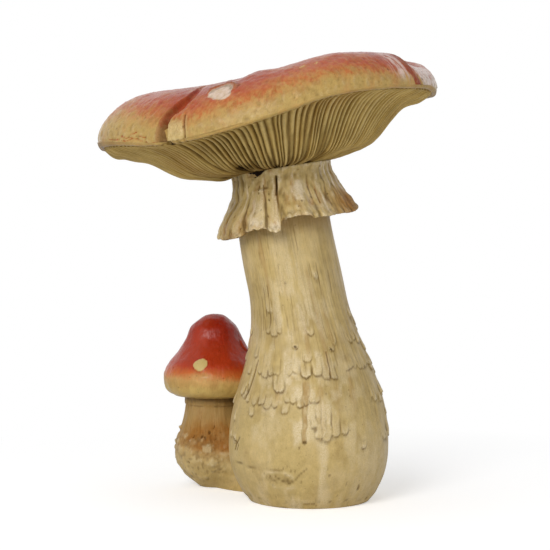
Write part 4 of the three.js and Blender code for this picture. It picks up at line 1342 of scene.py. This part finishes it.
def gill_plate():
    circle = turns(1368)
    run, a = grid(stations([(0, 8), (0.08, 38), (0.93, 13), (1, 1)]), circle)

    # The plate's underside, as it runs out from the hub to the lip
    rim = smooth(run, 0.94, 1)
    notch = crease_cut(a, np.ones_like(run))[0]
    r = lerp(hub_radius(a), lip_radius(a) - WALL + 0.4, run) - 0.45 * notch * smooth(run, 0.85, 1)
    z = belly_height(a, run) + (GILL_HANG - 0.4) * smooth(run, 0.62, 1)
    for at, half, middle, length, height in GILL_SHAPES:
        z += height * towards(a, at, half) * bell(run - middle, length)
    z -= 3.8 * towards(a, 196, 26) * bell(run - 0.1, 0.13) * smooth(run, 0.015, 0.07)

    # Each gill's ridge, as wide and as long as its own random numbers say
    weave = 0.3 * turning(a, run * 2.5, 5, 1, 1, 73) + 0.06 * turning(a, run * 9, 30, 1, 1, 74)
    phase = gill_phase(a) + weave
    index = np.floor(phase)
    local = 2 * (phase - index) - 1
    which = index.astype(np.int64) % GILLS
    own = hashed([which, 0 * which, 0 * which], 75)
    other = hashed([which, 1 + 0 * which, 0 * which], 75)
    starts = np.where(other > 0.2, 0.55 * (other - 0.2) / 0.8, -0.3)
    reached = smooth(run, starts, starts + 0.2)
    ridge = (1 - np.abs(local) ** lerp(1.5, 2.4, 0.5 + 0.5 * own)) * lerp(0.45, 1, reached)
    smoothed = towards(a, 190, 22) * smooth(run, 0.5, 0.85)
    pitch = 2 * np.pi * r / GILLS
    depth = np.minimum(4.2, 0.95 * pitch) * (1 + 0.2 * own)
    depth *= (1 - 0.7 * smooth(run, 0.985, 1.0)) * (1 - 0.72 * smoothed)
    wavy = 0.4 * turning(a, run * 14, 60, 1, 1, 76)
    sunk = depth * (1 - ridge) - wavy * smooth(run, 0, 0.1) * (1 - smoothed)
    rings = round_rings(a, r - 0.7 * sunk * rim * (run < 1), z)
    rings[..., 2] += sunk * (1 - 0.4 * rim)

    # Wash between the gills, with painted shade by the hub, on the left and in front of the neck, and a
    # near-black painted shadow beside the neck
    valley = smooth(1 - ridge, 0.12, 0.8)
    near_hub = fade(run, 0.03, 0.5)
    left = towards(a, 236, 40)
    tone = turning(a, run, 9, 0.4, 3, 77)
    wash_and_shade = valley * lerp(0.5 + 0.3 * left, 0.86, near_hub) * (1 + 0.2 * tone)
    for more in (
        0.15 * near_hub + 0.45 * near_hub * left + 0.12 * left,
        0.12 * smooth(tone, 0.0, 0.5),
        0.24 * towards(a, 250, 16) * (0.4 + 0.6 * valley),
    ):
        wash_and_shade += (1 - wash_and_shade) * more
    wash_and_shade = most(wash_and_shade * (1 - 0.28 * smoothed), 0.2 * smooth(run, 0.985, 1))
    wash_and_shade += 0.2 * smooth(turning(a, run, 100, 0.7, 2, 80), 0.1, 0.5) * (1 - wash_and_shade)
    # Near-black painted shadow under the gills beside the neck
    neck_shadow = towards(a, 238 + 28 * run, 11) * fade(run, 0.38, 0.56)
    neck_shadow = np.clip(1.2 * neck_shadow, 0, 1) * (0.8 + 0.2 * valley)
    wash_and_shade = most(wash_and_shade, neck_shadow, 0.12 * notch * smooth(run, 0.9, 1))
    # Pale crests, dry-brushed paint with painted highlight, dimmer in the painted shade by the hub
    crest = bell(local, 0.28) * reached
    pale_and_highlight = 0.75 * crest * (1 - 0.55 * near_hub) * (0.7 + 0.5 * noise(which, run * 5, 0, 79))
    pale_and_highlight = np.clip(pale_and_highlight, 0, 1) * (1 - 0.4 * smoothed)
    stain = 0.5 * smooth(turning(a, run, 4, 0.6, 3, 78), 0.0, 0.5)
    stain += 0.25 * smooth(np.abs(local), 0.3, 0.6)
    values = {"paint": 0.5 + 0.5 * own * (1 - smoothed), "wash_and_shade": wash_and_shade, "pale_and_highlight": pale_and_highlight, "stain": stain}

    # The hub below, and the plate's rim and top above
    flat = 0 * circle
    edge_r = lip_radius(circle) - WALL - BOND_GAP
    edge_z = lip_height(circle) + LIP_DEPTH - BOND_GAP
    start = np.stack([ROD_HOLE_R + flat, hub_radius(circle)])
    top_runs = np.array([0.97, 0.72, 0.36])[:, None]
    top_z = np.minimum(belly_height(circle, top_runs) + GILL_PLATE_T, edge_z)
    end = np.stack([edge_r, *lerp(HUB_R, edge_r, top_runs), 30 + flat, ROD_HOLE_R + flat])
    end_z = np.stack([edge_z, *top_z, BOND_GAP + HUB_T + flat, BOND_GAP + HUB_T + flat])
    a_start, a_end = np.broadcast_to(circle, start.shape), np.broadcast_to(circle, end.shape)
    rings = np.concatenate(
        [round_rings(a_start, start, BOND_GAP + 0 * start), rings, round_rings(a_end, end, end_z)]
    )
    plain = {"paint": 0.5, "wash_and_shade": 0.6, "pale_and_highlight": 0.0, "stain": 0.3}
    for key, level in plain.items():
        values[key] = np.concatenate([level + 0 * start, values[key], level + 0 * end])
    runs = [(a_start, 0 * start), (a, 100 * run), (a_end, 100 + 0 * end)]
    flow = np.concatenate([flowing(angles, out, 120, 9) for angles, out in runs])
    return skin("cap_gill_plate_dressed", on_stem_top(rings), gill_paint, values, flow)


# Small toadstool

SMALL_AT = (
    SMALL_SPACING * math.cos(math.radians(SMALL_BEARING)),
    SMALL_SPACING * math.sin(math.radians(SMALL_BEARING)),
)


def beside_stem(rings, lift):
    """Rings of the small toadstool put in their place, and pushed out of the large stem."""
    x, y, z = np.moveaxis(rings + np.array([*SMALL_AT, lift]), -1, 0)
    axis_x = -SWAY * smooth(z, SWAY_START, STEM_HEIGHT)
    away = np.hypot(x - axis_x, y)
    least = most(away, stem_radius(z) + 2 * BOND_GAP)
    return np.stack([axis_x + (x - axis_x) * least / away, y * least / away, z], -1)


def small_radius(z):
    """The small stem's radius at a height: its bulb, and its neck."""
    under = np.clip(1 - z / SMALL_BULB_HEIGHT, 0, 1)
    bulb = SMALL_BULB_R - (SMALL_BULB_R - SMALL_FOOT_R) * under**SMALL_BULB_CURVE
    fall = np.clip((z - SMALL_BULB_HEIGHT) / (SMALL_STEM_HEIGHT - SMALL_BULB_HEIGHT), 0, 1)
    neck = lerp(SMALL_BULB_R, SMALL_NECK_R, np.sin(np.pi / 2 * fall) ** SMALL_FALL_CURVE)
    return np.where(under > 0, bulb, neck)


# Lumps of the bulb as (degrees, height, half width, half height, lift)
LUMPS = [
    (263, 39, 7, 5, 2.0), (269, 26, 6, 4.5, 1.8), (224, 18, 6, 4, 1.3), (211, 37, 6, 5, 1.5),
    (241, 29, 8, 5, 1.2), (278, 21, 5, 3, 1.1), (236, 46, 8, 4, 1.0), (218, 50, 5, 3, 1.3),
    (252, 48, 8, 3.5, 1.0), (200, 44, 6, 4, 1.6), (228, 36, 7, 5, 1.1), (286, 34, 5, 4, 1.2),
    (250, 12, 6, 3, 0.8), (184, 56, 4, 1.6, 2.6), (182, 43, 5, 2, 2.6),
]
# Pits of the small stem as (degrees, height, size)
SMALL_PITS = [
    (252, 51, 1.8), (257, 50, 1.4), (264, 55, 1.5), (236, 50, 1.2), (272, 60, 1.2), (231, 26, 1.2),
]
RING_HEIGHT = 79


def small_stem():
    circle = turns(300, [(250, 60, 0.8)])
    z, a = grid(stations([(0, 4), (2, 84), (SMALL_STEM_HEIGHT, 1)]), circle)

    # The stem's form, grown together with the large one
    plain = small_radius(z)
    facing = np.clip(-np.cos(a - math.radians(SMALL_BEARING)), 0, 1) ** WEB_SHARPNESS
    reach = lerp(SMALL_SPACING - FOOT_R + WEB_BITE, plain, smooth(z, 0, WEB_HEIGHT))
    r = lerp(plain, most(reach, plain), facing)

    # Fibres above, and lumps, crumbs and pits below
    upper = smooth(z, 40, 60)
    relief = 0.9 * turning(a, z, 3, 22, 2, 81) + 0.45 * upper * turning(a, z, 16, 26, 3, 82)
    relief += 0.7 * (1 - upper) * turning(a, z, 7, 9, 3, 83) * smooth(z, 3, 12)
    rng = np.random.default_rng(12)
    every = list(LUMPS)
    for _ in range(8):
        size = rng.uniform(5, 8)
        at, height, lift = rng.uniform(-50, 190), rng.uniform(14, 50), rng.uniform(0.9, 1.6)
        every.append((at, height, size, size * 0.7, lift))
    lumps = np.zeros_like(z)
    under = np.zeros_like(z)
    for i, (at, height, wide, tall, lift) in enumerate(every):
        x = apart(a, at) * SMALL_BULB_R
        off = np.hypot(x / wide, (z - height) / tall) / 1.3 + 0.5 * rough(x / 4, z / 4, i, 3, 84)
        lumps = most(lumps, 0.85 * lift * fade(off, 0.1, 1.1))
        broken = smooth(noise(x / 3, z / 3, i, 86), -0.2, 0.5)
        under = most(under, bell(off - 1.1, 0.3) * smooth(height - z, -1, 3) * broken)
    crumbs = smooth(turning(a, z, 6.5, 6, 3, 89), 0, 0.5) * smooth(z, 4, 12) * fade(z, 46, 54)
    relief += lumps + 0.5 * crumbs
    hollow = averaged(relief, 3, 4) - relief
    ring = z - RING_HEIGHT - 0.8 * turning(a, 0, 6, 10, 2, 98)
    relief += 1.1 * smooth(ring, -0.6, 0.8)
    pits = np.zeros_like(z)
    for at, height, size in SMALL_PITS:
        pits = most(pits, spot(a, z + 1.5 * noise(a * 30, z / 2, 0, 88), SMALL_BULB_R, at, height, size))
    relief -= 0.8 * pits

    # The brown blush round the middle, with the wash, dark lines under the lumps, painted shade under the
    # cap, and the pale tops of the lumps
    blush = bell(z - 49 + 3 * turning(a, z, 6, 20, 2, 85), 15) * (0.4 + 0.6 * towards(a, 272, 48))
    stain = np.clip(1.4 * blush + 0.02 + 0.4 * smooth(z, 50, 78), 0, 0.95)
    stain *= 1 - 0.45 * smooth(lumps, 0.4, 1.5)
    bruise = towards(a, 254, 24) * bell(z - 47, 5)
    wash_and_shade = most(
        np.clip(hollow - 0.12, 0, 0.6),
        0.5 * under,
        0.55 * bruise * smooth(turning(a, z, 14, 4, 3, 79), -0.25, 0.3),
        # Painted shade under the small cap
        0.14 * smooth(z, 58, 76) + 0.35 * smooth(z, 80, 86),
        0.55 * bell(ring + 0.4, 0.9) * smooth(turning(a, 0, 7, 10, 2, 99), -0.5, 0.1),
        0.35 * upper * smooth(turning(a + z * 0.003, z, 34, 20, 3, 87), 0.15, 0.5),
        0.8 * pits,
        0.6 * blush * smooth(turning(a, z, 24, 2.2, 3, 90), 0.3, 0.55),
    )
    pale_and_highlight = most(np.clip(-hollow - 0.12, 0, 0.5), 0.3 * smooth(lumps, 0.6, 1.6))
    paint = 0.25 + 0.75 * (1 - upper) * smooth(z, 8, 26)
    values = {"paint": paint, "wash_and_shade": wash_and_shade, "pale_and_highlight": pale_and_highlight, "stain": stain}
    calm = smooth(z, 0, 2.5) * fade(z, SMALL_STEM_HEIGHT - 4, SMALL_STEM_HEIGHT - 1) * (1 - 0.8 * facing)
    shell = raised(round_rings(a, r, z), relief * calm)

    # The hollow inside
    ceiling = SMALL_STEM_HEIGHT - SMALL_TOP_WALL
    ledge = FOOT_DISC_T + BOND_GAP
    disc_r = SMALL_FOOT_R - SMALL_WALL + BOND_GAP
    mouth_r = SMALL_FOOT_R - 2 * SMALL_WALL
    profile = [(PIN_HOLE_R, SMALL_STEM_HEIGHT), (PIN_HOLE_R, ceiling)]
    profile += [(float(small_radius(np.array(h))) - SMALL_WALL, h) for h in (ceiling, 62, 34, 20, 12)]
    profile += [(mouth_r, ledge + SMALL_WALL / 2), (mouth_r, ledge), (disc_r, ledge), (disc_r, 0)]
    a_in, r_in, z_in = lathe(profile, circle)
    rings = beside_stem(np.concatenate([round_rings(a_in, r_in, z_in), shell]), 0)
    values = lined(values, dict.fromkeys(values, 0.2), z_in)
    flow = np.concatenate([flowing(a_in, z_in, 35, 8), flowing(a, z, 35, 8)])
    return skin("small_stem_dressed", rings, cream_paint, values, flow)


def through(points, count):
    """Points on a smooth curve through the given ones."""
    p = np.array([points[0], *points, points[-1]], float)
    t = np.linspace(0, len(points) - 1, count)
    i = np.minimum(t.astype(int), len(points) - 2)
    u = (t - i)[:, None]
    p0, p1, p2, p3 = p[i], p[i + 1], p[i + 2], p[i + 3]
    squared = 2 * p0 - 5 * p1 + 4 * p2 - p3
    cubed = 3 * p1 - p0 - 3 * p2 + p3
    return 0.5 * (2 * p1 + (p2 - p0) * u + squared * u**2 + cubed * u**3)


SMALL_CAP_RINGS = 149


def small_cap():
    circle = turns(380, [(262, 60, 0.6)])

    # The bell's form
    outline = through(SMALL_CAP_OUTLINE, SMALL_CAP_RINGS + 1)[:-1]
    r, a = grid(outline[:, 0] * SMALL_CAP_R, circle)
    z = grid(outline[:, 1] * SMALL_CAP_HEIGHT - SMALL_LIP_DROP, circle)[0]
    t = grid(np.linspace(0, 1, SMALL_CAP_RINGS), circle)[0]
    place = r * np.cos(a), r * np.sin(a), z

    # Dents, the pale spot that faces the viewer, and a spot at the right and at the back
    relief = 1.3 * lumpy(place, 24, 2, 91) + 0.3 * lumpy(place, 4, 2, 92)
    relief += 0.5 * lumpy(place, 9, 2, 90) - 0.6
    relief += 0.1 * towards(a, 285, 32) * turning(a, z, 26, 9, 2, 96)
    relief += 1.5 * towards(a, 200, 30) * bell(z - 62, 9) - towards(a, 222, 24) * bell(z - 44, 9)
    wart_x = apart(a, 254) * 42
    wart_turn = np.arctan2((z - 30.6) / 5.6, wart_x / 7)
    off = np.hypot(wart_x / 7, (z - 30.8) / 5) + 0.05 * np.cos(3 * wart_turn + 1)
    wart = fade(off + 0.08 * noise(wart_x / 2, z / 2, 0, 93), 0.9, 1.06)
    side_off = np.hypot(apart(a, 340) * 36 / 5, (z - 46) / 5.5)
    back_wart = fade(np.hypot(apart(a, 95) * 40 / 7, (z - 38) / 6), 0.88, 1.08)
    warts = most(wart, back_wart)
    relief += 0.7 * wart + 1.3 * fade(side_off, 0.85, 1.1) + 0.7 * back_wart
    relief *= smooth(t, 0, 0.03)
    rings = raised(round_rings(a, r, z), relief)

    # Airbrushed red with a painted highlight on the upper left, then wash, pale edges and stains
    high = z + 2.4 * lumpy(place, 12, 3, 94) * smooth(z, 2, 14) + 0.7 * turning(a, z, 14, 26, 3, 97)
    paint = 0.38 * smooth(high, 5, 20) + 0.36 * smooth(high, 15, 34) + 0.26 * smooth(z, 32, 66)
    paint = np.clip(paint - 0.12 * towards(a, 258, 18) * bell(z - 21, 6), 0, 1) * (1 - warts)
    # Less red towards the upper left: a painted highlight
    paint -= 0.14 * towards(a, 240, 26) * smooth(z, 34, 60)
    dots = np.zeros_like(z)
    rng = np.random.default_rng(21)
    for _ in range(26):
        dots = most(dots, spot(a, z, 40, rng.uniform(0, 360), rng.uniform(8, 66), rng.uniform(0.4, 0.8)))
    hollow = averaged(relief, 3, 3) - relief
    wash_and_shade = most(
        np.clip(hollow - 0.05, 0, 0.5),
        0.5 * bell(side_off - 1.12, 0.12),
        0.35 * fade(t, 0.02, 0.08),
        0.6 * dots,
    )
    pale_and_highlight = np.clip(-hollow - 0.1, 0, 0.4) * fade(z, 14, 24)
    stain = 0.3 * bell(z - 10, 7) * smooth(turning(a, z, 6, 14, 3, 95), -0.1, 0.4)
    values = {"paint": paint, "wash_and_shade": wash_and_shade, "pale_and_highlight": pale_and_highlight, "stain": stain, "bare_and_sheen": 0.75 * warts}

    # The hollow inside, with the rebate that holds the small gill plate
    rebate = BOND_GAP + SMALL_PLATE_T + BOND_GAP
    plate_r = SMALL_LIP_SHARE * SMALL_CAP_R - SMALL_WALL
    ledge_r = plate_r - SMALL_WALL / 2
    profile = [(1, 69), (14, 66), (20, 52), (30, 36), (36, 24), (ledge_r, rebate + 4)]
    profile += [(ledge_r, rebate), (plate_r, rebate), (plate_r, -SMALL_LIP_DROP)]
    a_in, r_in, z_in = lathe(profile, circle)
    rings = beside_stem(np.concatenate([round_rings(a_in, r_in, z_in), rings]), SMALL_STEM_HEIGHT)
    values = lined(values, {"wash_and_shade": 0.4, "stain": 0.3}, z_in)
    flow = np.concatenate([flowing(a_in, z_in, 42, 6), flowing(a, z, 42, 6)])
    return skin("small_cap_dressed", rings, small_cap_paint, values, flow, capped=True)


dressed(large_stem(), "large_stem")
dressed(neck_skirt(), "neck_skirt")
dressed(cap_dome(), "cap_dome")
dressed(gill_plate(), "cap_gill_plate")
dressed(small_stem(), "small_stem")
dressed(small_cap(), "small_cap")

NODE_MATERIALS = {
    "raw_resin": raw_resin_material(),
    "zinc_steel": zinc_steel_material(),
    "gill_paint": gill_paint,
}
for entry in frame["record"]["subparts"]:
    node = frame["nodes"][entry["node"]]
    if not node.hide_render:
        node.data.materials.clear()
        node.data.materials.append(NODE_MATERIALS[entry["material_slot"]])

# Studio: a pale floor, a white surround and soft lamps

WHITE = (1, 1, 1, 1)
FLOOR_GREY = (0.9, 0.9, 0.9, 1)
FLOOR_LIFT = 0.42
FLOOR_SIDE = 30
FLOOR_DROP = 0.0002  # so that the feet stand clear of it
SURROUND = 0.4


def floor_material():
    """A diffuse floor that the camera sees fade to white away from the statue."""
    t = Tree(bpy.data.materials.new("floor"))
    seen = t.add("LightPath").outputs["Is Camera Ray"]
    diffuse = t.add("BsdfDiffuse", {"Color": FLOOR_GREY})
    lift = t.add("Emission", {"Color": WHITE, "Strength": FLOOR_LIFT})
    near = t.add("AddShader", {0: diffuse.outputs[0], 1: lift.outputs[0]})
    away = t.add("VectorMath", {0: t.place()}, operation="LENGTH").outputs["Value"]
    far = t.add("Emission", {"Color": WHITE, "Strength": 1.0})
    faded = t.add("MixShader", {0: t.range(away, 0.12, 0.5), 1: near.outputs[0], 2: far.outputs[0]})
    mixed = t.add("MixShader", {0: seen, 1: diffuse.outputs[0], 2: faded.outputs[0]})
    t.add("OutputMaterial", {"Surface": mixed.outputs[0]})
    return t.owner


def studio_world():
    """A soft surround, seen as white."""
    t = Tree(bpy.data.worlds.new("studio"))
    rays = t.add("LightPath").outputs
    seen = t.math("MAXIMUM", rays["Is Camera Ray"], rays["Is Glossy Ray"])
    seen = t.math("MAXIMUM", seen, rays["Is Transmission Ray"])
    soft = t.add("Background", {"Color": WHITE, "Strength": SURROUND})
    backdrop = t.add("Background", {"Color": WHITE, "Strength": 1.0})
    mixed = t.add("MixShader", {0: seen, 1: soft.outputs[0], 2: backdrop.outputs[0]})
    t.add("OutputWorld", {"Surface": mixed.outputs[0]})
    return t.owner


half = FLOOR_SIDE / 2
corners = [(-half, -half, 0), (half, -half, 0), (half, half, 0), (-half, half, 0)]
floor_mesh = bpy.data.meshes.new("floor")
floor_mesh.from_pydata(corners, [], [(0, 1, 2, 3)])
floor_mesh.materials.append(floor_material())
floor = bpy.data.objects.new("floor", floor_mesh)
floor.location.z = -FLOOR_DROP
scene.collection.objects.link(floor)
scene.world = studio_world()

# Lamps as (name, place, target, size, watts)
LAMPS = [
    ("key", (-0.7, -1.6, 1.0), (0, 0, 0.2), 0.9, 20),
    ("fill", (1.4, -1.0, 0.15), (0, 0, 0.1), 0.9, 4),
    ("top", (-0.1, 0.2, 1.6), (0, 0, 0.3), 0.9, 2),
]
for name, place, target, size, watts in LAMPS:
    lamp = bpy.data.lights.new(name, "AREA")
    lamp.shape = "DISK"
    lamp.size = size
    lamp.energy = watts
    holder = bpy.data.objects.new(name, lamp)
    holder.location = place
    x, y, z = np.array(target) - np.array(place)
    yaw = math.atan2(y, x) - math.pi / 2
    pitch = math.atan2(z, math.hypot(x, y)) + math.pi / 2
    holder.rotation_euler = (pitch, 0, yaw)
    scene.collection.objects.link(holder)

scene.view_settings.view_transform = "Standard"
